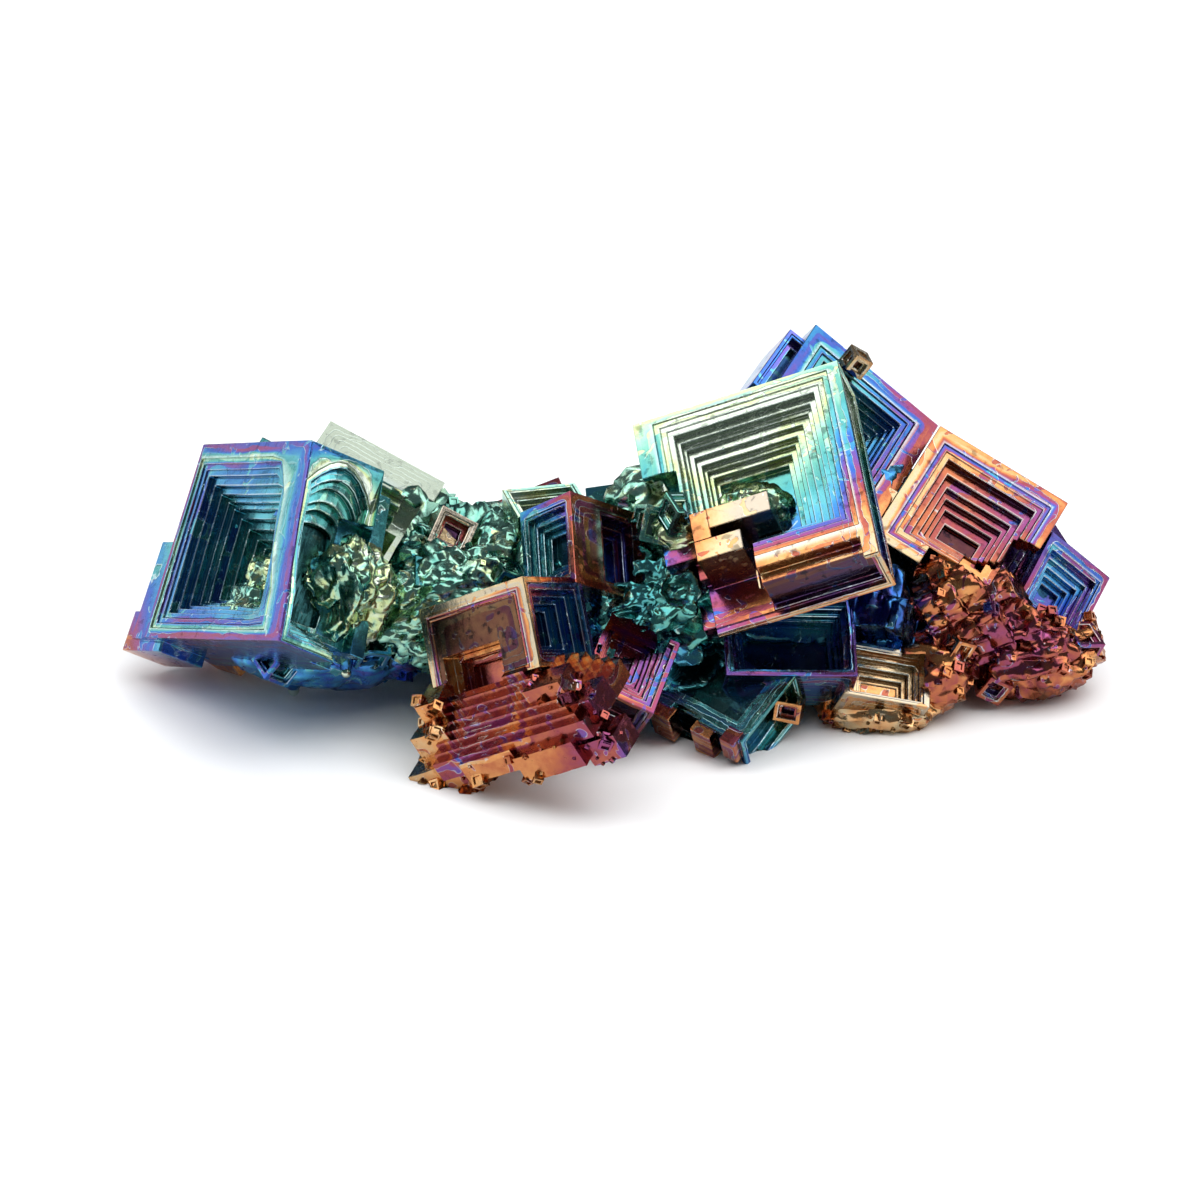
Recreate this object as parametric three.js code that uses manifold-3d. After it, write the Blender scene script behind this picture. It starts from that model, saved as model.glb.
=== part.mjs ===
// Bismuth hopper crystal cluster: one metal specimen of stepped, hollow-faced crystals grown together.
// Millimetres, +Z up, resting on z = 0, with the origin under the middle of its outline.
import * as THREE from 'three';
import { mergeVertices } from 'three/addons/utils/BufferGeometryUtils.js';
import Module from 'manifold-3d';

const wasm = await Module();
wasm.setup();

// ---- driving dimensions -------------------------------------------------------------------------

const CUT_CLEARANCE = 1; // how far a cutter starts outside the face it opens
const GROUND_REACH = 60; // half width of the block that trims the feet flat
const GROUND_DEPTH = 20;
const WELD = 1e-4; // vertices closer than this are one
const LUMP_DETAIL = 1; // subdivisions of a massive lump
const LUMP_RELIEF = 0.2; // how craggy a lump is, as a part of its radius
const METAL = { color: 0x4f8f96, roughness: 0.28, metalness: 1 };

// Stair proportions shared by many crystals: rim [left, right, bottom, top], tread and riser.
const FINE = { steps: 4, rim: [1.3, 1.3, 1.3, 1.3], tread: [0.7, 0.7, 0.7, 0.7], riser: 0.8 };
const SHORT = { steps: 2, rim: [1.1, 1.1, 1.1, 1.1], tread: [0.8, 0.8, 0.8, 0.8], riser: 0.9 };
const TINY = { steps: 2, rim: [0.5, 0.5, 0.5, 0.5], tread: [0.4, 0.4, 0.4, 0.4], riser: 0.6 };

// Each crystal: `at` is the middle of its front face, `size` its width, depth and height, `turn` its
// rotation in degrees about X, then Y, then Z. In its own frame x runs right, y into the crystal and
// z up. `behind` adds narrower, deeper blocks as [inset, depth]. `stairs` sinks a stepped hollow in a
// face, and those in the `open` faces stay clear of any crystal listed later for `reach` in front.
// `notches` are ungrown corners, `ledges` outgrowths and `pits` hollows that stay clear, all written
// as [x from, x to, y from, y to, z from, z to]. `flare` widens a crystal to the right at its foot.
const CRYSTALS = [
  // the tall leaning crystal at the left end, deeply hollowed, with a stepped outer edge
  {
    name: 'left_tower', at: [-27.7, -0.2, 13], size: [15.2, 6.4, 14.8], turn: [-34, -20, -53],
    open: ['front', 'right'], flare: 3.8, behind: [[1.4, 8.2]],
    stairs: {
      front: { steps: 6, rim: [1.9, 3.2, 2.2, 2.6], tread: [0.7, 0.4, 0.65, 0.8], riser: 0.85 },
      right: { steps: 3, rim: [0.8, 0.5, 0.6, 1.3], tread: [0.6, 0.6, 0.9, 1.7], riser: 0.8 },
      left: SHORT,
    },
    notches: [[5.2, 9, 4.6, 7, -9, 3.2]],
    ledges: [[-9.5, -6.4, 0.3, 5, -7.4, 0], [-10.7, -6.4, 0.7, 4.5, -8.2, -5.2]],
  },
  // the crystal leaning on it, its broad upper rim whole and its lower right corner ungrown
  {
    name: 'left_crown', at: [-18.1, 3, 15.4], size: [9.4, 8, 9.4], turn: [-73, 25, -14],
    stairs: {
      front: { steps: 5, rim: [1.3, 0.6, 0.5, 3.5], tread: [0.6, 0.25, 0.2, 0.85], riser: 0.8 },
      bottom: { steps: 3, rim: [1, 1, 1.2, 1], tread: [0.8, 0.8, 0.8, 0.8], riser: 0.8 },
    },
    notches: [[2.8, 6, -1, 4, -6, 2.4], [-1, 6, -1, 5, -6, -2.8]],
  },
  { name: 'saddle_cube', at: [-11.6, 0, 13.5], size: [2.9, 4, 2.9], turn: [-41, 30, 0],
    stairs: { front: TINY } },
  // the middle pair
  {
    name: 'middle_post', at: [-0.7, -3, 13.7], size: [6.9, 5, 6.9], turn: [-38, 29, 37],
    stairs: {
      front: { steps: 3, rim: [2.6, 0.6, 0.9, 1], tread: [0.4, 0.3, 0.5, 0.5], riser: 1 },
      left: { steps: 3, rim: [0.7, 0.7, 0.9, 0.9], tread: [0.4, 0.4, 0.6, 0.6], riser: 0.6 },
    },
  },
  { name: 'middle_cube', at: [-4.4, 0.6, 11.7], size: [5.4, 5, 6], turn: [0, 0, 14],
    stairs: { front: SHORT, top: TINY } },
  // the right-hand hopper, widest of all, its lower left corner grown as separate frames
  {
    name: 'right_tower', at: [9.5, -3, 18.3], size: [15.4, 4.6, 16.6], turn: [-57, -20, -3],
    behind: [[1.3, 6.4], [2.9, 8.4]],
    stairs: {
      front: { steps: 7, rim: [2.7, 2.2, 4, 1.8], tread: [0.4, 0.7, 0.45, 0.65], riser: 0.85 },
      right: { steps: 2, rim: [1, 1, 1, 1], tread: [0.5, 0.5, 0.6, 0.6], riser: 0.7 },
      bottom: { steps: 2, rim: [1, 1, 0.9, 0.9], tread: [0.6, 0.6, 0.5, 0.5], riser: 0.7 },
      top: TINY,
    },
    notches: [
      [-9, -5.3, -1, 5, -9, 3.5], [-9, -0.9, -1, 4, -9, -0.6], [-0.9, 6.6, -1, 0.9, -9, -6.6],
      [3.2, 5.6, 0, 2.2, -9, -7.4],
    ],
    ledges: [
      [-4.9, 0.9, 0, 5, -2.2, -0.6], [-4.9, -3.6, 0, 5, -4.6, -0.6], [-4.9, -1.5, 0, 5, -4.6, -3],
      [-7.6, -5, 2, 6, -2.9, 1.8], [-5.6, -4, 3, 6, -4.2, 2],
    ],
  },
  { name: 'back_right_crown', at: [16.4, 6, 19.3], size: [11.6, 6.4, 11.6], turn: [-67, 38, -12],
    behind: [[1.4, 8.4]],
    stairs: {
      front: { steps: 6, rim: [2, 2.4, 1.8, 2.2], tread: [0.6, 0.55, 0.6, 0.55], riser: 1 },
      right: SHORT, top: SHORT,
    } },
  { name: 'crown_plate', at: [12.5, 9, 22.2], size: [3.5, 5, 5.8], turn: [-60, 36, -14],
    stairs: { front: TINY } },
  {
    name: 'right_shoulder', at: [25.2, 2, 13.7], size: [10.7, 6, 10.2], turn: [-54, 26, -19],
    behind: [[1.4, 7.4]],
    stairs: {
      front: { steps: 5, rim: [1.8, 1.7, 1.6, 1.9], tread: [0.5, 0.5, 0.5, 0.75], riser: 0.8 },
      right: SHORT,
    },
    notches: [[-1.4, 6, -1, 4.8, -6, -3.2], [1, 6, -1, 4.4, -6, -1.4], [3.4, 6, -1, 3.4, -6, 0.8]],
    ledges: [[-6.1, -4.4, 0.4, 3, -4.6, -1]],
  },
  { name: 'far_right', at: [32.2, 3, 7.7], size: [5.7, 6, 6.3], turn: [-45, 41, 1],
    stairs: {
      front: { steps: 4, rim: [0.7, 0.8, 0.6, 1.1], tread: [0.35, 0.35, 0.4, 0.5], riser: 0.7 },
      right: TINY,
    } },
  // the low crystals along the front
  {
    name: 'front_block', at: [-9.6, -10.5, 10.2], size: [9.6, 6.5, 6.4], turn: [-23, -28, -29],
    open: ['right'],
    stairs: {
      right: { steps: 4, rim: [0.9, 0.9, 0.8, 0.9], tread: [0.5, 0.5, 0.4, 0.4], riser: 0.7 },
      left: TINY, top: SHORT,
    },
    pits: [
      [-3.5, 1.6, -1, 1.2, -3.4, -0.6], [-2.9, 1, -1, 1.9, -3.4, -1], [-2.4, 0.4, -1, 2.6, -3.4, -1.4],
    ],
  },
  { name: 'fan', at: [0.9, -7.4, 6.9], size: [5.8, 4.6, 6], turn: [-54, 24, -6],
    stairs: {
      front: { steps: 4, rim: [0.4, 0.4, 0.4, 0.4], tread: [0.3, 0.6, 0.7, 0.2], riser: 0.6 },
      bottom: TINY,
    },
    notches: [[-4, 2.1, -1, 2, 2, 4], [-4, -2.1, -1, 2, -1.6, 4]] },
  { name: 'front_pit', at: [12.2, -4.4, 7.5], size: [9.4, 5.2, 6.2], turn: [-50, 3, 5], reach: 2.4,
    stairs: {
      front: { steps: 4, rim: [0.8, 0.7, 0.8, 0.6], tread: [0.4, 0.35, 0.3, 0.3], riser: 0.9 },
      left: TINY, right: TINY,
    } },
  {
    name: 'front_basin', at: [7.2, -6.1, 4.6], size: [8.8, 4.4, 6.8], turn: [-62, 9, -37],
    stairs: {
      front: { steps: 2, rim: [1.6, 1.4, 1.9, 1.5], tread: [0.9, 0.8, 0.8, 0.8], riser: 0.35 },
      right: TINY, bottom: TINY,
    },
    notches: [[-5, -3.4, -1, 0.8, -5, -2.6], [-1.8, 0.6, -1, 0.7, -5, -2.8]],
    ledges: [[-3.2, -1.4, 0.2, 3, -4.3, -3.2], [0.3, 2, 0.3, 3, -4.1, -3.2], [2.9, 4.1, -0.2, 2, -4, -2.7]],
  },
  { name: 'front_step', at: [19.2, -4, 4.3], size: [6.4, 5, 4.3], turn: [-54, 14, 7], reach: 2,
    stairs: {
      front: { steps: 3, rim: [0.6, 0.7, 0.4, 0.5], tread: [0.5, 0.5, 0.35, 0.65], riser: 0.7 },
      right: TINY,
    } },
  { name: 'front_chip', at: [12, -6.4, 2.4], size: [1.9, 2.6, 1.5], turn: [-12, 6, -12],
    stairs: { front: { ...TINY, rim: [0.3, 0.3, 0.3, 0.3], tread: [0.25, 0.25, 0.2, 0.2] } } },
  // the back of the cluster
  { name: 'rear_left', at: [-20, 11, 12], size: [10.6, 7, 10.6], turn: [-48, -14, 150],
    stairs: { front: { ...FINE, steps: 5 }, left: SHORT, top: TINY } },
  { name: 'rear_left_low', at: [-26.5, 8, 6], size: [7, 6, 7], turn: [-30, 16, 118],
    stairs: { front: FINE, right: TINY } },
  { name: 'rear_middle_left', at: [-7.4, 12.2, 8.8], size: [8, 6, 8], turn: [-34, 18, -168],
    stairs: { front: FINE, left: SHORT } },
  { name: 'rear_middle', at: [3.4, 11.8, 11.6], size: [9.6, 7, 9], turn: [-56, 12, 172],
    stairs: { front: { ...FINE, steps: 5 }, left: SHORT } },
  { name: 'rear_right', at: [17, 15, 13], size: [9, 8, 9.6], turn: [-38, -20, 164],
    stairs: { front: FINE, left: SHORT } },
  { name: 'rear_right_end', at: [26.4, 10.4, 8.6], size: [8.4, 6, 8], turn: [-46, 20, -154],
    stairs: { front: FINE, right: SHORT } },
  { name: 'rear_foot_left', at: [-13, 11.4, 3.2], size: [7.4, 7, 7], turn: [-12, 8, 168],
    stairs: { front: SHORT, left: TINY } },
  { name: 'rear_foot_right', at: [9.4, 14.4, 3.4], size: [8, 7, 7], turn: [-15, -10, 176],
    stairs: { front: FINE } },
  { name: 'left_end', at: [-30.4, 3.8, 8], size: [5, 5, 5], turn: [-20, 24, -96],
    stairs: { front: SHORT } },
];

// The widening flight of steps below the front block and the rough blocks at its foot.
const FLIGHT = {
  at: [-9.05, -12.1, 7.85], turn: [15, -28, -29], steps: 8, drop: 0.45, forward: 0.5,
  left: -3.7, spreadLeft: 0.2, right: 3.5, spreadRight: 0.7, back: 3, base: -4.6,
};
const FLIGHT_BLOCKS = [
  [-7.8, -3.4, -3.8, 1, -7, -3.6], [-6.6, -3.5, -2.8, 1, -4.4, -1.4], [-5.4, -3.4, -1.8, 1, -2, 0.4],
  [-2.8, 1.8, -4.4, -1, -5.2, -3.5], [1.8, 7, -4.7, -1, -6.2, -4.1], [7, 9.8, -4, -1.5, -6.8, -4.9],
  [3.8, 7, -2.2, 0, -2.2, -0.7], [6.4, 8.8, -2.8, 0, -4.2, -2.4],
];

// Massive lumps the crystals grow out of: middle, radii and a seed for the crags.
const LUMPS = [
  [[-20, 3, 8], [9, 7, 5], 1], [[-20.5, 0.5, 4.8], [7.5, 4.6, 2.8], 2], [[-10, 2, 8], [9, 7.5, 5], 3],
  [[1, 2, 8.4], [9, 7.5, 5.2], 4], [[12, 5, 8], [10, 6.6, 5.6], 5], [[23.5, 7.2, 6.2], [8, 5, 5], 6],
  [[29.5, 2.2, 4], [5.2, 4, 3.8], 7], [[-6, -5, 7], [5, 5, 3.8], 8],
  [[22.4, -1.6, 3.4], [3, 2.6, 2.7], 9], [[18.8, -2.8, 1.4], [4.4, 2.4, 1.8], 10],
  [[9, 3, 12], [6, 5, 4.4], 11], [[17, 7, 12.6], [5, 5, 5], 12], [[4.4, -2.6, 5], [3.8, 2.8, 2.8], 13],
  [[-15, 5, 11], [4, 4, 3.4], 14], [[4.6, -1, 14.2], [2.2, 1.8, 2], 15],
  [[-18.8, -4.4, 10.6], [2.9, 2.6, 3.6], 16], [[24.9, 0.6, 7.4], [4.2, 2.8, 4.2], 17],
  [[3, 4.5, 13.8], [3.6, 2.6, 2.2], 18], [[18.9, -0.8, 7.8], [2.7, 2.4, 3.4], 19],
];

// Small loose-grown cubes: middle, edge and turn.
const CUBES = [
  [[4.4, -2.4, 16], 2.2, [20, 12, 30]], [[2.6, -1.4, 14.6], 2.6, [-24, 20, 12]],
  [[17.2, 9.6, 22.6], 1.6, [12, 34, 20]], [[33.2, 1, 4.2], 2.4, [24, 12, 30]],
  [[27, -0.8, 2], 2, [16, 30, 12]], [[31, 0, 2], 1.8, [34, 12, 24]],
  [[24.2, -1.8, 5.4], 1.8, [14, 26, 34]], [[-13.4, -2, 10.4], 2.6, [30, 16, 10]],
  [[-8, -2.6, 11], 2.4, [12, 30, 24]], [[-24, -3.4, 5], 2.4, [20, 34, 40]],
  [[-17.4, -3.4, 6], 2.2, [36, 12, 16]], [[10.6, 12.8, 9.6], 3.2, [14, 24, 36]],
  [[-16, 12.6, 7.6], 2.8, [22, 30, 12]],
];

// ---- shapes -------------------------------------------------------------------------------------

const radians = THREE.MathUtils.degToRad;

/** A geometry left with positions only and its equal corners joined. */
function welded(geometry) {
  geometry.deleteAttribute('normal');
  geometry.deleteAttribute('uv');
  return mergeVertices(geometry, WELD);
}

/** Closed solid from a three.js geometry. */
function solidOf(geometry) {
  const { attributes, index } = welded(geometry);
  return new wasm.Manifold(new wasm.Mesh({
    numProp: 3,
    vertProperties: new Float32Array(attributes.position.array),
    triVerts: new Uint32Array(index.array),
  }));
}

/** Box between two limits on each axis. */
function block([x0, x1, y0, y1, z0, z1]) {
  const box = new THREE.BoxGeometry(x1 - x0, y1 - y0, z1 - z0);
  return box.translate((x0 + x1) / 2, (y0 + y1) / 2, (z0 + z1) / 2);
}

/** The same box in a crystal that widens to the right towards its foot. */
function flaredBlock(limits, [w, , h], flare) {
  const box = block(limits);
  const corners = box.attributes.position;
  for (let i = 0; i < corners.count; i += 1) {
    const [x, z] = [corners.getX(i), corners.getZ(i)];
    corners.setX(i, x + flare * (0.5 - z / h) * (0.5 + x / w));
  }
  return box;
}

/** Matrix that turns about X, then Y, then Z in degrees and moves to a point. */
function placing([x, y, z], at) {
  const euler = new THREE.Euler(radians(x), radians(y), radians(z), 'ZYX');
  return new THREE.Matrix4().makeRotationFromEuler(euler).setPosition(...at);
}

/** A solid moved by a matrix. */
function placed(solid, matrix) {
  return solid.transform(matrix.elements.slice());
}

/** Where each face of a crystal sits: its width, height, turn and middle. */
function faceOf(face, [w, d, h]) {
  return {
    front: { span: [w, h], turn: [0, 0, 0], middle: [0, 0, 0] },
    right: { span: [d, h], turn: [0, 0, 90], middle: [w / 2, d / 2, 0] },
    left: { span: [d, h], turn: [0, 0, -90], middle: [-w / 2, d / 2, 0] },
    top: { span: [w, d], turn: [-90, 0, 0], middle: [0, d / 2, h / 2] },
    bottom: { span: [w, d], turn: [90, 0, 0], middle: [0, d / 2, -h / 2] },
  }[face];
}

/** Boxes that sink one stepped hollow, each narrower and deeper than the one before. */
function stairBoxes(face, size, { steps, rim, tread, riser }, reach) {
  const { span: [w, h], turn, middle } = faceOf(face, size);
  return Array.from({ length: steps }, (_, i) => {
    const [l, r, b, t] = rim.map((edge, side) => edge + i * tread[side]);
    const box = block([-w / 2 + l, w / 2 - r, -reach, riser * (i + 1), -h / 2 + b, h / 2 - t]);
    box.applyMatrix4(placing(turn, middle)).computeBoundingBox();
    const { min, max } = box.boundingBox;
    return [min.x, max.x, min.y, max.y, min.z, max.z];
  });
}

/** One hopper crystal standing in the cluster, and the hollows that stay open in it. */
function hopper({
  at, size, turn, stairs, behind = [], open = ['front'], reach = CUT_CLEARANCE, flare = 0,
  notches = [], ledges = [], pits = [],
}) {
  const union = (boxes) => wasm.Manifold.union(boxes.map((box) => solidOf(flaredBlock(box, size, flare))));
  const hollows = Object.entries(stairs).map(([face, steps]) => (
    { face, boxes: stairBoxes(face, size, steps, open.includes(face) ? reach : CUT_CLEARANCE) }
  ));
  const kept = hollows.filter(({ face }) => open.includes(face)).flatMap(({ boxes }) => boxes);
  const stack = [[0, size[1]], ...behind].map(([inset, depth]) => {
    const [w, h] = [size[0] / 2 - inset, size[2] / 2 - inset];
    return [-w, w, 0, depth, -h, h];
  });
  const cut = union(stack).subtract(union([...hollows.flatMap(({ boxes }) => boxes), ...notches, ...pits]));
  const place = placing(turn, at);
  return {
    body: placed(wasm.Manifold.union([cut, ...ledges.map((box) => union([box]))]), place),
    hollow: placed(union([...kept, ...pits]), place),
  };
}

/** The widening flight of steps and the blocks along its foot. */
function flight({
  at, turn, steps, drop, forward, left, spreadLeft, right, spreadRight, back, base,
}) {
  const treads = Array.from({ length: steps }, (_, i) => block([
    left - i * spreadLeft, right + i * spreadRight, -forward * (i + 1), back, base, -i * drop,
  ]));
  const solids = [...treads, ...FLIGHT_BLOCKS.map(block)].map(solidOf);
  return placed(wasm.Manifold.union(solids), placing(turn, at));
}

/** A craggy faceted lump. */
function lump([at, radii, seed]) {
  const ball = welded(new THREE.IcosahedronGeometry(1, LUMP_DETAIL));
  const corners = ball.attributes.position;
  for (let i = 0; i < corners.count; i += 1) {
    const crag = 1 + LUMP_RELIEF * Math.sin(seed * 1.7 + i * 2.4) * Math.cos(seed * 0.9 + i * 1.1);
    corners.setXYZ(i, ...radii.map((r, axis) => at[axis] + corners.getComponent(i, axis) * r * crag));
  }
  return solidOf(ball);
}

/** A small plain cube. */
function cube([at, edge, turn]) {
  return solidOf(new THREE.BoxGeometry(edge, edge, edge).applyMatrix4(placing(turn, at)));
}

/** Everything grown together, the first listed crystals last, with the feet trimmed flat. */
function cluster() {
  const massive = wasm.Manifold.union([...LUMPS.map(lump), ...CUBES.map(cube), flight(FLIGHT)]);
  const grown = CRYSTALS.map(hopper).reduceRight(
    (mass, { body, hollow }) => mass.subtract(hollow).add(body), massive,
  );
  const reach = GROUND_REACH;
  return grown.subtract(solidOf(block([-reach, reach, -reach, reach, -GROUND_DEPTH, 0])));
}

/** The outer skin alone: the largest connected shell, without the voids shut inside it. */
function outerSkin({ vertProperties, triVerts }) {
  const owner = Array.from({ length: vertProperties.length / 3 }, (_, i) => i);
  const rootOf = (v) => {
    while (owner[v] !== v) v = owner[v] = owner[owner[v]];
    return v;
  };
  for (let t = 0; t < triVerts.length; t += 3) {
    owner[rootOf(triVerts[t + 1])] = rootOf(triVerts[t]);
    owner[rootOf(triVerts[t + 2])] = rootOf(triVerts[t]);
  }
  const counts = new Map();
  for (const v of triVerts) counts.set(rootOf(v), (counts.get(rootOf(v)) ?? 0) + 1);
  const [largest] = [...counts].reduce((a, b) => (b[1] > a[1] ? b : a));
  return { vertProperties, triVerts: triVerts.filter((v) => rootOf(v) === largest) };
}

/** A three.js geometry from a finished solid, its outline centred over the origin. */
function geometryOf(solid) {
  const { vertProperties, triVerts } = outerSkin(solid.getMesh());
  const geometry = new THREE.BufferGeometry();
  geometry.setAttribute('position', new THREE.BufferAttribute(vertProperties, 3));
  geometry.setIndex(new THREE.BufferAttribute(triVerts, 1));
  const skin = geometry.toNonIndexed();
  skin.computeBoundingBox();
  const middle = skin.boundingBox.getCenter(new THREE.Vector3());
  skin.translate(-middle.x, -middle.y, 0);
  return mergeVertices(skin, WELD);
}

const mesh = new THREE.Mesh(geometryOf(cluster()), new THREE.MeshStandardMaterial(METAL));
mesh.name = 'bismuth_cluster';
const part = new THREE.Group();
part.add(mesh);
export default part;
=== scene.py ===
"""Bismuth hopper crystal cluster: the finished look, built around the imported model."""
import logging
import math
from dataclasses import dataclass, field
from enum import Enum
from typing import Any, Iterable, Sequence, Union

import bmesh
import bpy
from mathutils import Euler, Matrix, Vector


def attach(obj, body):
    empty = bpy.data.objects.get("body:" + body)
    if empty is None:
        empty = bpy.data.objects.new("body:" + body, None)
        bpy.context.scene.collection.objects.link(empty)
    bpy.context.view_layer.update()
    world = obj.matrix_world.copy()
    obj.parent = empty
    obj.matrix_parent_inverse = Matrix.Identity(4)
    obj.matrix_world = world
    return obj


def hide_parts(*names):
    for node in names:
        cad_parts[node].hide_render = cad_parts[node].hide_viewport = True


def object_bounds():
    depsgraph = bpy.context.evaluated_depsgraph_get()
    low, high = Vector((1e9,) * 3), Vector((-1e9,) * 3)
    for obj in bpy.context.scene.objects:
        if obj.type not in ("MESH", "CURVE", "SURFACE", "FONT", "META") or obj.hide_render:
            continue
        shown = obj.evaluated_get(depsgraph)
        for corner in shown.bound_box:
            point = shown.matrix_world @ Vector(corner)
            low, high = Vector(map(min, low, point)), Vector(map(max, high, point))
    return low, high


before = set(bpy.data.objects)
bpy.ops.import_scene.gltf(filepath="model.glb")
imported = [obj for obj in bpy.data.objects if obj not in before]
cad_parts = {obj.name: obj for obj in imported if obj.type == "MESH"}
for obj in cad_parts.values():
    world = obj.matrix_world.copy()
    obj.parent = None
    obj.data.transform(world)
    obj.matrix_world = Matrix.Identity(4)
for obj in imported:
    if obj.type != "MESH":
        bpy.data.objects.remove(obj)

LOG = logging.getLogger("bismuth")
CAD_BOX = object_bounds()

MM = 0.001
# The cluster was laid out about this point; the finished part is centred over its own outline.
LAYOUT_MIDDLE = Vector((-0.0795, -0.2576, 0.0))
NODE = "bismuth_cluster"

Triple = tuple[float, float, float]
Sides = tuple[float, float, float, float]
Limits = tuple[float, float, float, float, float, float]


# ---- node graphs ---------------------------------------------------------------------------------


class Value:
    """One output socket, so that maths on it reads as an expression."""

    def __init__(self, graph: "Graph", socket: bpy.types.NodeSocket) -> None:
        """Keeps the graph and the socket.

        Args:
            graph: The graph that owns the socket.
            socket: The output socket that is wrapped.
        """
        self.graph = graph
        self.socket = socket

    def math(self, operation: str, *others: Any) -> "Value":
        """A Math node with this value first.

        Args:
            operation: The Math node's operation.
            *others: Its remaining inputs, as values or numbers.

        Returns:
            The node's result.
        """
        return self.graph.value("ShaderNodeMath", {"operation": operation}, [self, *others])

    def __add__(self, other: Any) -> "Value":
        """self + other."""
        return self.math("ADD", other)

    __radd__ = __add__

    def __sub__(self, other: Any) -> "Value":
        """self - other."""
        return self.math("SUBTRACT", other)

    def __rsub__(self, other: Any) -> "Value":
        """other - self."""
        return self.graph.value("ShaderNodeMath", {"operation": "SUBTRACT"}, [other, self])

    def __mul__(self, other: Any) -> "Value":
        """self * other."""
        return self.math("MULTIPLY", other)

    __rmul__ = __mul__

    def __truediv__(self, other: Any) -> "Value":
        """self / other."""
        return self.math("DIVIDE", other)

    def __lt__(self, other: Any) -> "Value":
        """One where self is under other."""
        return self.math("LESS_THAN", other)

    def __gt__(self, other: Any) -> "Value":
        """One where self is over other."""
        return self.math("GREATER_THAN", other)

    def __abs__(self) -> "Value":
        """Its absolute value."""
        return self.math("ABSOLUTE")

    def clamp(self) -> "Value":
        """The value held between 0 and 1."""
        return self.math("MAXIMUM", 0.0).math("MINIMUM", 1.0)

    def fade(self, start: float, end: float) -> "Value":
        """A smooth rise from 0 at start to 1 at end.

        Args:
            start: The value that gives 0.
            end: The value that gives 1.

        Returns:
            The faded value.
        """
        return self.graph.value(
            "ShaderNodeMapRange",
            {"interpolation_type": "SMOOTHSTEP"},
            {"Value": self, "From Min": start, "From Max": end},
        )

    def vector(self, operation: str, *others: Any) -> "Value":
        """A Vector Math node with this vector first.

        Args:
            operation: The node's operation.
            *others: Its remaining inputs.

        Returns:
            The node's vector, or its number for the operations that give one.
        """
        output = "Value" if operation in ("DOT_PRODUCT", "LENGTH", "DISTANCE") else "Vector"
        inputs: Any = [self, *others]
        if operation == "SCALE":
            inputs = {"Vector": self, "Scale": others[0]}
        return self.graph.value("ShaderNodeVectorMath", {"operation": operation}, inputs, output)


class Graph:
    """A node tree with one way to add a node."""

    def __init__(self, tree: bpy.types.NodeTree) -> None:
        """Keeps the tree."""
        self.tree = tree

    def node(self, kind: str, settings: dict[str, Any], inputs: Any = ()) -> bpy.types.Node:
        """Adds a node.

        Args:
            kind: The node's type.
            settings: Its properties, set before its inputs.
            inputs: A list by position or a dict by name of values, numbers or sockets.

        Returns:
            The new node.
        """
        made = self.tree.nodes.new(kind)
        for key, setting in settings.items():
            if key == "ramp":
                self._ramp(made, setting)
            else:
                setattr(made, key, setting)
        pairs = inputs.items() if isinstance(inputs, dict) else enumerate(inputs)
        for key, given in pairs:
            socket = made.inputs[key]
            if isinstance(given, Value):
                self.tree.links.new(given.socket, socket)
            elif isinstance(given, bpy.types.NodeSocket):
                self.tree.links.new(given, socket)
            elif given is not None:
                socket.default_value = given
        return made

    @staticmethod
    def _ramp(node: bpy.types.Node, stops: Sequence[tuple[float, Triple]]) -> None:
        """Fills a colour ramp with stops of place and colour."""
        ramp = node.color_ramp
        while len(ramp.elements) < len(stops):
            ramp.elements.new(1.0)
        for element, (place, colour) in zip(ramp.elements, stops):
            element.position = place
            element.color = (*colour, 1.0)

    def value(
        self, kind: str, settings: dict[str, Any], inputs: Any = (), output: Any = 0
    ) -> Value:
        """Adds a node and wraps one of its outputs.

        Args:
            kind: The node's type.
            settings: Its properties.
            inputs: Its inputs.
            output: The output's name or position.

        Returns:
            The wrapped output.
        """
        return Value(self, self.node(kind, settings, inputs).outputs[output])

    def wrap(self, node: bpy.types.Node, output: Any = 0) -> Value:
        """Wraps another output of a node that is already there."""
        return Value(self, node.outputs[output])

    def noise(self, spot: Value, output: str = "Fac", kind: str = "3D", **sizes: Any) -> Value:
        """A noise texture.

        Args:
            spot: Where it is read.
            output: "Fac" for one number, "Color" for three.
            kind: Its dimensions.
            **sizes: The node's other inputs by name.

        Returns:
            The noise at the spot.
        """
        return self.value(
            "ShaderNodeTexNoise", {"noise_dimensions": kind}, {"Vector": spot, **sizes}, output
        )


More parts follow.
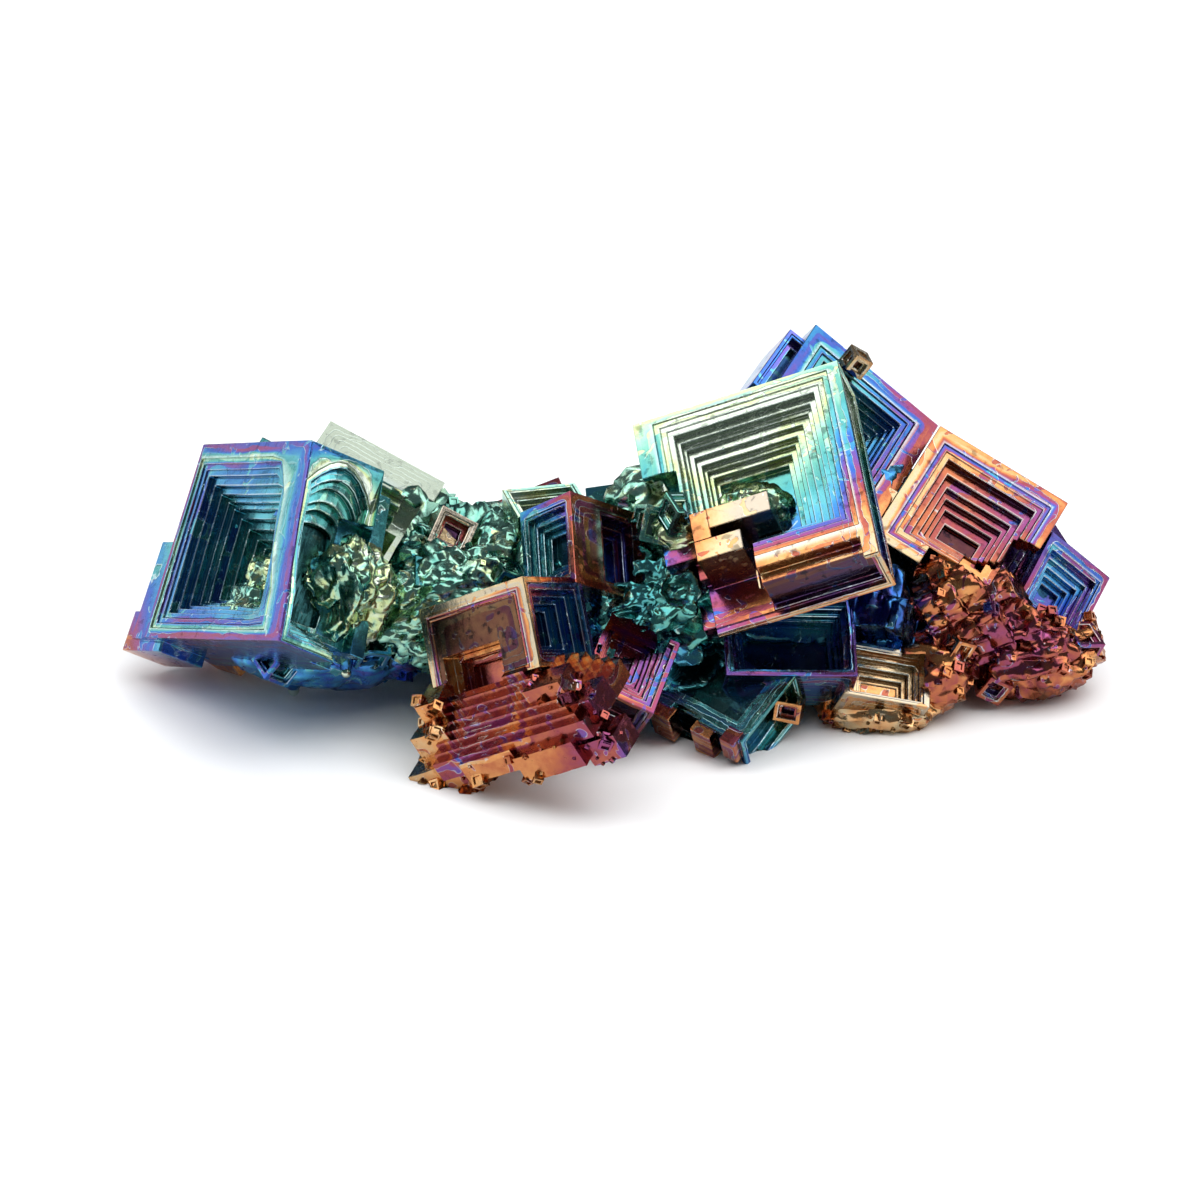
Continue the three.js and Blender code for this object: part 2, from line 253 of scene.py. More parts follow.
class Recipe(Graph):
    """A Geometry Nodes tree that takes a mesh and named sizes."""

    def __init__(self, name: str, sizes: dict[str, Sequence[str]]) -> None:
        """Opens the tree.

        Args:
            name: The tree's name.
            sizes: The names of the inputs after the mesh, by kind.
        """
        super().__init__(bpy.data.node_groups.new(name, "GeometryNodeTree"))
        face = self.tree.interface
        face.new_socket("Geometry", in_out="INPUT", socket_type="NodeSocketGeometry")
        for kind, titles in sizes.items():
            for title in titles:
                face.new_socket(title, in_out="INPUT", socket_type=f"NodeSocket{kind}")
        face.new_socket("Geometry", in_out="OUTPUT", socket_type="NodeSocketGeometry")
        self.given = self.tree.nodes.new("NodeGroupInput")

    def __getitem__(self, title: str) -> Value:
        """One of the tree's named inputs."""
        return Value(self, self.given.outputs[title])

    def attribute(self, name: str, kind: str = "FLOAT") -> Value:
        """Reads a stored attribute."""
        return self.value("GeometryNodeInputNamedAttribute", {"data_type": kind}, {"Name": name})

    def store(
        self, mesh: Value, name: str, kind: str, domain: str, content: Any, where: Any = None
    ) -> Value:
        """Stores an attribute on the mesh.

        Args:
            mesh: The geometry.
            name: The attribute's name.
            kind: Its data type.
            domain: Where it is kept.
            content: What is stored.
            where: The selection, or None for everywhere.

        Returns:
            The geometry that holds it.
        """
        inputs = {"Geometry": mesh, "Name": name, "Value": content, "Selection": where}
        settings = {"data_type": kind, "domain": domain}
        return self.value("GeometryNodeStoreNamedAttribute", settings, inputs)

    def marked(self, mesh: Value, film: Value, step: Any) -> Value:
        """Stores what the finish and the grains read."""
        for name, content in (("film", film), ("step", step), ("grain", self["Grain"])):
            mesh = self.store(mesh, name, "FLOAT", "CORNER", content)
        return mesh

    def move(self, mesh: Value, offset: Value, where: Any = None) -> Value:
        """Offsets the selected points."""
        inputs = {"Geometry": mesh, "Offset": offset, "Selection": where}
        return self.value("GeometryNodeSetPosition", {}, inputs)

    def extrude(
        self, mesh: Value, single: bool, scale: float, where: Any = None, offset: Any = None
    ) -> tuple[Value, Value]:
        """Extrudes faces.

        Args:
            mesh: The geometry.
            single: Whether each face goes alone.
            scale: How far, along the normal or in shares of the offset.
            where: The selected faces, or None for all.
            offset: The way, or None for the normal.

        Returns:
            The geometry and the selection of its new tops.
        """
        node = self.node(
            "GeometryNodeExtrudeMesh", {"mode": "FACES"},
            {"Mesh": mesh, "Selection": where, "Offset": offset, "Offset Scale": scale,
             "Individual": single},
        )
        return self.wrap(node, "Mesh"), self.wrap(node, "Top")

    def random(self, low: float, high: float, seed: Any, ident: Any = None) -> Value:
        """A random number between two limits, one for each point or each ident."""
        inputs = {2: low, 3: high, "ID": ident, "Seed": seed}
        return self.value("FunctionNodeRandomValue", {"data_type": "FLOAT"}, inputs, 1)

    def close(self, mesh: Value, finish: bpy.types.Material) -> bpy.types.NodeTree:
        """Ends the tree in Realize Instances and Set Material.

        Args:
            mesh: The last geometry.
            finish: The material it gets.

        Returns:
            The finished tree.
        """
        real = self.value("GeometryNodeRealizeInstances", {}, [mesh])
        dressed = self.value("GeometryNodeSetMaterial", {}, {"Geometry": real, "Material": finish})
        out = self.tree.nodes.new("NodeGroupOutput")
        self.tree.links.new(dressed.socket, out.inputs[0])
        return self.tree


def applied(obj: bpy.types.Object) -> bpy.types.Mesh:
    """Turns an object with its modifiers into one plain mesh and drops the object.

    Args:
        obj: The object to settle.

    Returns:
        The evaluated mesh, free of modifiers.
    """
    graph = bpy.context.evaluated_depsgraph_get()
    mesh = bpy.data.meshes.new_from_object(obj.evaluated_get(graph))
    old = obj.data
    bpy.data.objects.remove(obj)
    if old.users == 0:
        bpy.data.meshes.remove(old)
    return mesh


def hold(data: bpy.types.ID, name: str = "work") -> bpy.types.Object:
    """Puts a mesh, light or camera in the scene as an object."""
    obj = bpy.data.objects.new(name, data)
    bpy.context.scene.collection.objects.link(obj)
    return obj


def follow(obj: bpy.types.Object, tree: bpy.types.NodeTree, sizes: dict[str, Any]) -> None:
    """Adds a Geometry Nodes modifier and sets its named sizes.

    Args:
        obj: The object that gets it.
        tree: The tree.
        sizes: Input name to value.
    """
    modifier = obj.modifiers.new(tree.name, "NODES")
    modifier.node_group = tree
    names = {item.name: item.identifier for item in tree.interface.items_tree if item.in_out == "INPUT"}
    for title, size in sizes.items():
        modifier[names[title]] = size


class Join(Enum):
    """How one solid is worked into another."""

    ADD = "UNION"
    CUT = "DIFFERENCE"
    SHARE = "INTERSECT"


def worked(mesh: bpy.types.Mesh, tool: bpy.types.Mesh, how: Join) -> bpy.types.Mesh:
    """Joins or cuts one closed mesh with another.

    Args:
        mesh: The solid that is kept.
        tool: The solid that is added or cut away, used up here.
        how: Which of the two.

    Returns:
        The resulting mesh.
    """
    base, other = hold(mesh), hold(tool)
    modifier = base.modifiers.new("join", "BOOLEAN")
    modifier.operation = how.value
    modifier.solver = "MANIFOLD"
    modifier.object = other
    made = applied(base)
    bpy.data.objects.remove(other)
    bpy.data.meshes.remove(tool)
    return made


# ---- finishes ------------------------------------------------------------------------------------


@dataclass(frozen=True)
class Film:
    """How thick the oxide film is on one crystal, on a scale from 0, silver, to 1, silver-green.

    `slope` is its change for each millimetre across, into and up the crystal, `inner` its change
    towards the bottom of a hollow and `ring` its change on the first ledge.
    """

    rim: float = 0.6
    slope: Triple = (0.0, 0.0, 0.0)
    inner: float = 0.1
    ring: float = 0.0


@dataclass(frozen=True)
class OxideFinish:
    """Bismuth under its iridescent oxide film.

    The noises run in cycles a metre. `drift` is how much the broad, the cloudy and the fine one
    change the film.
    """

    broad: float = 110.0
    cloud: float = 450.0
    fine: float = 2600.0
    grain: float = 7000.0
    island: float = 620.0
    grime: float = 1500.0
    drift: Triple = (0.26, 0.16, 0.06)
    stops: tuple[tuple[float, Triple], ...] = (
        (0.00, (0.44, 0.38, 0.30)),
        (0.07, (0.56, 0.42, 0.24)),
        (0.15, (0.62, 0.28, 0.10)),
        (0.22, (0.42, 0.13, 0.06)),
        (0.29, (0.27, 0.06, 0.07)),
        (0.36, (0.24, 0.06, 0.17)),
        (0.42, (0.13, 0.08, 0.30)),
        (0.49, (0.04, 0.11, 0.40)),
        (0.56, (0.05, 0.23, 0.44)),
        (0.63, (0.10, 0.36, 0.40)),
        (0.70, (0.07, 0.30, 0.31)),
        (0.78, (0.12, 0.36, 0.30)),
        (0.86, (0.29, 0.53, 0.41)),
        (0.93, (0.50, 0.58, 0.28)),
        (1.00, (0.58, 0.66, 0.54)),
    )
    # pale colour of the painted highlight along the step lips, also used for the band and island
    # outlines
    lip_highlight: tuple[float, float, float, float] = (0.62, 0.72, 0.70, 1.0)
    # near-black tint for the random grime and for the painted shade in the step creases
    shade_and_grime_tint: tuple[float, float, float, float] = (0.008, 0.014, 0.02, 1.0)

    def material(self) -> bpy.types.Material:
        """Builds the material.

        Returns:
            The finished material.
        """
        made = bpy.data.materials.new("bismuth_oxide")
        made.use_nodes = True
        g = Graph(made.node_tree)
        g.tree.nodes.clear()
        film = g.value("ShaderNodeAttribute", {"attribute_name": "film"}, (), "Fac")
        level = g.value("ShaderNodeAttribute", {"attribute_name": "step"}, (), "Fac")
        spot = g.value("ShaderNodeTexCoord", {}, (), "Object")
        broad = g.noise(spot, Scale=self.broad, Detail=1.0)
        cloud = g.noise(spot, Scale=self.cloud, Detail=3.0)
        fine = g.noise(spot, Scale=self.fine, Detail=3.0)
        grain = g.noise(spot, Scale=self.grain, Detail=3.0)
        shift, outline = self._bands(g, cloud, broad, level)
        phase = (level * 0.5).math("FRACT")
        # painted highlight: a pale band along the top edge of every riser, where the film is also a
        # little thinner
        lip_highlight = 1.0 - abs(phase - 0.5).fade(0.02, 0.13)
        # painted shade: darkens the inner crease at the foot of each riser, past the first step
        crease_shade = abs(phase - 0.5).fade(0.40, 0.50) * level.fade(0.5, 1.5)
        # blotches with crisp outlines, where the film broke and grew again
        islands = g.noise(spot, Scale=self.island, Detail=1.0, Distortion=1.4)
        patch = islands.fade(0.64, 0.655)
        shore = 1.0 - abs(islands - 0.647).fade(0.004, 0.014)
        thick = (
            film + (broad - 0.5) * self.drift[0] + (cloud - 0.5) * self.drift[1]
            + (fine - 0.5) * self.drift[2] + patch * 0.10 + shift - lip_highlight * 0.03
        )
        colour = g.value("ShaderNodeValToRGB", {"ramp": self.stops}, [thick.clamp()], "Color")
        # the painted lip highlight plus the pale outlines of the film bands and islands
        pale = (lip_highlight * (0.2 + cloud * 0.6) + outline * 0.55 + shore * 0.4).clamp()
        highlit_and_outlined = self._mix(g, pale, colour, self.lip_highlight)
        grime = g.noise(spot, Scale=self.grime, Detail=4.0).fade(0.56, 0.72)
        # random grime and the painted crease shade, both mixed towards the near-black tint
        grime_and_shade = self._mix(g, (grime * 0.18 + crease_shade * 0.75).clamp(), highlit_and_outlined, self.shade_and_grime_tint)
        rough = 0.12 + cloud * 0.10 + grime * 0.22 + fine * 0.05
        height = fine * 0.35 + grain * 0.12 + patch * 0.25 - outline * 0.3 + cloud * 0.8
        bump = g.value("ShaderNodeBump", {}, {"Strength": 0.3, "Distance": 0.0001, "Height": height})
        shader = g.node(
            "ShaderNodeBsdfPrincipled", {},
            {"Base Color": grime_and_shade, "Metallic": 1.0, "Roughness": rough, "Normal": bump},
        )
        g.node("ShaderNodeOutputMaterial", {}, {"Surface": shader.outputs[0]})
        return made

    @staticmethod
    def _bands(g: Graph, cloud: Value, broad: Value, level: Value) -> tuple[Value, Value]:
        """Rounded bands that follow the rims, nested one inside the next.

        Args:
            g: The shader's graph.
            cloud: Noise that makes the bands uneven.
            broad: Wide noise that fades them in and out.
            level: How many steps down a point lies.

        Returns:
            The bands' change of film and the pale lines between them.
        """
        place = g.value("ShaderNodeAttribute", {"attribute_name": "place"}, (), "Vector")
        half = g.value("ShaderNodeAttribute", {"attribute_name": "half"}, (), "Vector")
        gap = g.node("ShaderNodeSeparateXYZ", {}, [half.vector("SUBTRACT", place.vector("ABSOLUTE"))])
        x, y, z = (g.wrap(gap, axis) for axis in range(3))
        # the middle one of the three gaps is the distance in from the nearest edge
        wider = x.math("SMOOTH_MAX", y, 0.5).math("SMOOTH_MIN", z, 0.8)
        near = x.math("SMOOTH_MIN", y, 0.5).math("SMOOTH_MAX", wider, 0.3)
        edge = near + (cloud - 0.5) * 0.9
        count = edge / 0.42
        tri = abs(count.math("FRACT") - 0.5)
        shown = edge.fade(0.05, 0.2) * (1.0 - edge.fade(1.9, 2.3)) * (1.0 - level.fade(5.0, 8.0))
        number = count.math("FLOOR")
        shift = (number * 2.4 + broad * 9.0).math("SINE") * 0.07 * shown
        outline = tri.fade(0.43, 0.48) * shown * broad.fade(0.42, 0.55)
        return shift, outline

    @staticmethod
    def _mix(g: Graph, factor: Value, under: Value, over: Any) -> Value:
        """Two colours mixed."""
        node = g.node("ShaderNodeMix", {"data_type": "RGBA"}, {0: factor, 6: under, 7: over})
        return g.wrap(node, 2)


# ---- shapes that follow a rule -------------------------------------------------------------------


class Side(Enum):
    """A face of a crystal: its number, and the directions across it, up it and out of it."""

    FRONT = (0, (1, 0, 0), (0, 0, 1), (0, -1, 0))
    RIGHT = (1, (0, 1, 0), (0, 0, 1), (1, 0, 0))
    LEFT = (2, (0, -1, 0), (0, 0, 1), (-1, 0, 0))
    TOP = (3, (1, 0, 0), (0, 1, 0), (0, 0, 1))
    BOTTOM = (4, (1, 0, 0), (0, -1, 0), (0, 0, -1))
    BACK = (5, (-1, 0, 0), (0, 0, 1), (0, 1, 0))


FRONT, RIGHT, LEFT, TOP, BOTTOM, BACK = Side


@dataclass(frozen=True)
class Flight:
    """The stairs of one stepped hollow, in millimetres; rim and tread run left, right, bottom, top."""

    steps: int
    rim: Sides
    tread: Sides
    riser: float
    ledges: int = 2
    drop: float = 0.1
    ledge: float = 0.42


class SteppedHollow:
    """The tree that sinks a flight of square steps in one face of a block."""

    SIZES = {
        "Int": ("Side", "Steps", "Ledges", "Seed"),
        "Vector": ("Across", "Up", "Out", "Rim Low", "Rim High", "Tread Low", "Tread High"),
        "Float": ("Riser", "Drop", "Ledge"),
    }

    def __init__(self, finish: bpy.types.Material) -> None:
        """Builds the tree."""
        g = Recipe("Stepped hollow", self.SIZES)
        mesh = g["Geometry"]
        side = g.attribute("side", "INT")
        same = {"data_type": "INT", "operation": "EQUAL"}
        chosen = g.value("FunctionNodeCompare", same, {2: side, 3: g["Side"]})
        mesh = g.store(mesh, "top", "BOOLEAN", "FACE", chosen)
        start = g.tree.nodes.new("GeometryNodeRepeatInput")
        end = g.tree.nodes.new("GeometryNodeRepeatOutput")
        start.pair_with_output(end)
        rounds = g["Steps"] + g["Ledges"]
        g.tree.links.new(rounds.socket, start.inputs["Iterations"])
        g.tree.links.new(mesh.socket, start.inputs["Geometry"])
        turn = g.wrap(start, "Iteration")
        body = self._round(g, g.wrap(start, "Geometry"), turn)
        g.tree.links.new(body.socket, end.inputs["Geometry"])
        self.tree = g.close(g.wrap(end, "Geometry"), finish)

    @staticmethod
    def _round(g: Recipe, mesh: Value, turn: Value) -> Value:
        """One tread and one riser."""
        first = turn < 0.5
        shallow = turn < g["Ledges"]
        jitter = g.random(0.72, 1.28, g["Seed"], turn)
        drop_jitter = g.random(0.75, 1.25, g["Seed"] + 7, turn)
        mesh, top = g.extrude(mesh, False, 0.0, g.attribute("top", "BOOLEAN"))
        spot = g.value("GeometryNodeInputPosition", {})
        shifts = []
        for axis, name in enumerate(("Across", "Up")):
            way = g[name]
            reach = spot.vector("DOT_PRODUCT", way)
            stats = g.node(
                "GeometryNodeAttributeStatistic", {"data_type": "FLOAT", "domain": "POINT"},
                {"Geometry": mesh, "Selection": top, "Attribute": reach},
            )
            low = reach < g.wrap(stats, "Mean")
            amounts = []
            for end in ("Low", "High"):
                rim = g.value("ShaderNodeSeparateXYZ", {}, [g[f"Rim {end}"]], axis)
                tread = g.value("ShaderNodeSeparateXYZ", {}, [g[f"Tread {end}"]], axis)
                # the ledges share the rim: its width less what the ledges take, then the ledges
                opening = rim - g["Ledge"] * g["Ledges"]
                later = shallow * g["Ledge"] + (1.0 - shallow) * (
                    ((turn - g["Ledges"]) < 0.5) * g["Ledge"]
                    + ((turn - g["Ledges"]) > 0.5) * tread * jitter
                )
                amounts.append(first * opening.math("MAXIMUM", 0.15) + (1.0 - first) * later)
            shift = low * amounts[0] - (1.0 - low) * amounts[1]
            shifts.append(way.vector("SCALE", shift))
        mesh = g.move(mesh, shifts[0].vector("ADD", shifts[1]), top)
        mesh = g.store(mesh, "level", "FLOAT", "POINT", turn * 2.0 + 1.0, top)
        sink = shallow * g["Drop"] + (1.0 - shallow) * g["Riser"] * drop_jitter
        down = g["Out"].vector("SCALE", sink * -1.0)
        mesh, top = g.extrude(mesh, False, 1.0, top, down)
        mesh = g.store(mesh, "level", "FLOAT", "POINT", turn * 2.0 + 2.0, top)
        return g.store(mesh, "top", "BOOLEAN", "FACE", top)


class Weathering:
    """The tree that subdivides a block, makes its edges uneven and marks its film."""

    SIZES = {
        "Int": ("Level",),
        "Vector": ("Calm", "Half", "Slope"),
        "Float": ("Wave", "Pitch", "Seed", "Flare", "Arch", "Rim", "Inner", "Ring", "Grain"),
    }

    def __init__(self, finish: bpy.types.Material) -> None:
        """Builds the tree."""
        g = Recipe("Weathering", self.SIZES)
        mesh = g.value(
            "GeometryNodeSubdivideMesh", {}, {"Mesh": g["Geometry"], "Level": g["Level"]}
        )
        half = g["Half"]
        spot = g.value("GeometryNodeInputPosition", {})
        place = spot.vector("SUBTRACT", half.vector("MULTIPLY", (0.0, 1.0, 0.0)))
        level = g.attribute("level")
        mesh = g.store(mesh, "place", "FLOAT_VECTOR", "CORNER", place)
        mesh = g.store(mesh, "half", "FLOAT_VECTOR", "CORNER", half)
        ring = g["Ring"] * (level.fade(0.5, 0.95) - level.fade(2.3, 3.0))
        film = (
            g["Rim"] + place.vector("DOT_PRODUCT", g["Slope"])
            + level.fade(0.6, 7.0) * g["Inner"] + ring
        )
        mesh = g.marked(mesh, film, level)
        noise = g.noise(spot, "Color", "4D", W=g["Seed"], Scale=g["Pitch"], Detail=2.0)
        loose = (1.0 + place.vector("DOT_PRODUCT", g["Calm"])).math("MAXIMUM", 0.25)
        amount = g["Wave"] * (0.2 + level.fade(0.5, 3.5) * 0.8) * loose
        sway = noise.vector("SUBTRACT", (0.5, 0.5, 0.5)).vector("SCALE", amount)
        share = g.node("ShaderNodeSeparateXYZ", {}, [place.vector("DIVIDE", half)])
        lean = g["Flare"] * (0.5 - g.wrap(share, 2) * 0.5) * (0.5 + g.wrap(share, 0) * 0.5)
        bow = g["Arch"] * g.wrap(share, 0).fade(0.5, 0.8) * level.fade(0.5, 1.0)
        bow = bow * g.wrap(share, 1) * g.wrap(share, 1) * g.wrap(share, 2).fade(-0.6, 0.3)
        spread = g.value("ShaderNodeCombineXYZ", {}, [lean, 0.0, bow * -1.0])
        self.tree = g.close(g.move(mesh, sway.vector("ADD", spread)), finish)


class Crumple:
    """The tree that turns a ball into a folded or terraced mass."""

    SIZES = {
        "Vector": ("Middle", "Radii", "Turn", "Tread"),
        "Float": ("Fold", "Terrace", "Rim", "Grain"),
    }

    def __init__(self, finish: bpy.types.Material) -> None:
        """Builds the tree."""
        g = Recipe("Crumple", self.SIZES)
        ball = g.value("GeometryNodeInputPosition", {})
        out = ball.vector("NORMALIZE")
        spot = ball.vector("MULTIPLY", g["Radii"]).vector("ADD", g["Middle"])
        turned = self._turn(g, spot, False)
        warp = g.noise(turned, "Color", Scale=0.35, Detail=2.0).vector("SUBTRACT", (0.5, 0.5, 0.5))
        bent = turned.vector("ADD", warp.vector("SCALE", 2.4))
        crag = g.noise(bent.vector("MULTIPLY", (0.4, 1.2, 0.8)), Scale=0.42, Detail=4.0, Roughness=0.5)
        ridge = 1.0 - (abs(crag - 0.5) * 7.0).math("MINIMUM", 1.0)
        swell = g.noise(turned, Scale=0.28, Detail=1.0)
        lift = g["Fold"] * (ridge - 0.4 + (swell - 0.5) * 1.5)
        folded = spot.vector("ADD", out.vector("SCALE", lift))
        lattice = self._turn(g, folded, False).vector("ADD", warp.vector("SCALE", 1.2))
        count = lattice.vector("DIVIDE", g["Tread"])
        part = count.vector("FRACTION")
        riser = part.vector("SUBTRACT", (0.62, 0.62, 0.62)).vector("SCALE", 3.4)
        riser = riser.vector("MAXIMUM", (0.0, 0.0, 0.0)).vector("MINIMUM", (1.0, 1.0, 1.0))
        step = riser.vector("SUBTRACT", part).vector("MULTIPLY", g["Tread"])
        settled = folded.vector("ADD", self._turn(g, step, True).vector("SCALE", g["Terrace"]))
        mesh = g.value(
            "GeometryNodeSetPosition", {}, {"Geometry": g["Geometry"], "Position": settled}
        )
        mesh = g.value("GeometryNodeSetShadeSmooth", {}, {"Geometry": mesh, "Shade Smooth": True})
        film = g["Rim"] + (ridge - 0.5) * 0.10
        mesh = g.marked(mesh, film, 0.0)
        self.tree = g.close(mesh, finish)

    @staticmethod
    def _turn(g: Recipe, spot: Value, back: bool) -> Value:
        """Turns a vector into the mass's own grain, or back out of it."""
        settings = {"rotation_type": "EULER_XYZ", "invert": back}
        return g.value(
            "ShaderNodeVectorRotate", settings, {"Vector": spot, "Rotation": g["Turn"]}
        )


class Grains:
    """The tree that scatters small hopper cubes over the coarse parts of a surface."""

    SIZES = {"Float": ("Density", "Small", "Large", "Loose"), "Vector": ("Turn",), "Int": ("Seed",)}

    def __init__(self, finish: bpy.types.Material) -> None:
        """Builds the tree."""
        g = Recipe("Grains", self.SIZES)
        seed = g["Seed"]
        spread = g.node(
            "GeometryNodeDistributePointsOnFaces", {"distribute_method": "RANDOM"},
            {"Mesh": g["Geometry"], "Density": g.attribute("grain") * g["Density"],
             "Seed": seed},
        )
        tilt = g.value(
            "FunctionNodeRandomValue", {"data_type": "FLOAT_VECTOR"},
            {0: (-1.0, -1.0, -1.0), 1: (1.0, 1.0, 1.0), "Seed": seed + 2},
        )
        turn = g["Turn"].vector("ADD", tilt.vector("SCALE", g["Loose"]))
        pick = g.random(0.0, 1.0, seed + 4)
        size = g["Small"] + (g["Large"] - g["Small"]) * pick * pick * pick
        put = g.value(
            "GeometryNodeInstanceOnPoints", {},
            {"Points": g.wrap(spread), "Instance": self._cube(g), "Rotation": turn, "Scale": size},
        )
        film = g.attribute("film") + g.random(-0.07, 0.07, seed + 5)
        put = g.store(put, "film", "FLOAT", "INSTANCE", film)
        self.tree = g.close(put, finish)

    @staticmethod
    def _cube(g: Recipe) -> Value:
        """A cube of unit edge with every face sunk."""
        cube = g.value("GeometryNodeMeshCube", {}, {"Size": (1.0, 1.0, 1.0)})
        rim, top = g.extrude(cube, True, 0.0)
        inset = g.value(
            "GeometryNodeScaleElements", {"domain": "FACE"},
            {"Geometry": rim, "Selection": top, "Scale": 0.62},
        )
        return g.extrude(inset, True, -0.16, top)[0]


# ---- crystals ------------------------------------------------------------------------------------

SHARP_DEGREES = 35.0  # edges sharper than this are bevelled
OVERLAP = 0.5  # how far a deeper block reaches back into the one before it, in millimetres


def box_mesh(limits: Limits) -> bpy.types.Mesh:
    """A closed box that knows which side each of its faces is.

    Args:
        limits: x, y and z, each from and to.

    Returns:
        The mesh.
    """
    x0, x1, y0, y1, z0, z1 = limits
    corners = [(x, y, z) for x in (x0, x1) for y in (y0, y1) for z in (z0, z1)]
    faces = {
        FRONT: (0, 4, 5, 1), RIGHT: (4, 6, 7, 5), LEFT: (2, 0, 1, 3),
        TOP: (1, 5, 7, 3), BOTTOM: (2, 6, 4, 0), BACK: (6, 2, 3, 7),
    }
    mesh = bpy.data.meshes.new("box")
    mesh.from_pydata(corners, [], list(faces.values()))
    mark = mesh.attributes.new("side", "INT", "FACE")
    mark.data.foreach_set("value", [side.value[0] for side in faces])
    return mesh


def placing(turn: Triple, at: Triple) -> Matrix:
    """The matrix that turns about X, then Y, then Z in degrees and moves to a point."""
    euler = Euler([math.radians(angle) for angle in turn], "XYZ")
    return Matrix.Translation(Vector(at)) @ euler.to_matrix().to_4x4()


@dataclass
class Workshop:
    """The trees and the finish that every piece shares."""

    finish: bpy.types.Material
    hollow: SteppedHollow = field(init=False)
    weathering: Weathering = field(init=False)
    crumple: Crumple = field(init=False)
    grains: Grains = field(init=False)

    def __post_init__(self) -> None:
        """Builds the trees."""
        self.hollow = SteppedHollow(self.finish)
        self.weathering = Weathering(self.finish)
        self.crumple = Crumple(self.finish)
        self.grains = Grains(self.finish)


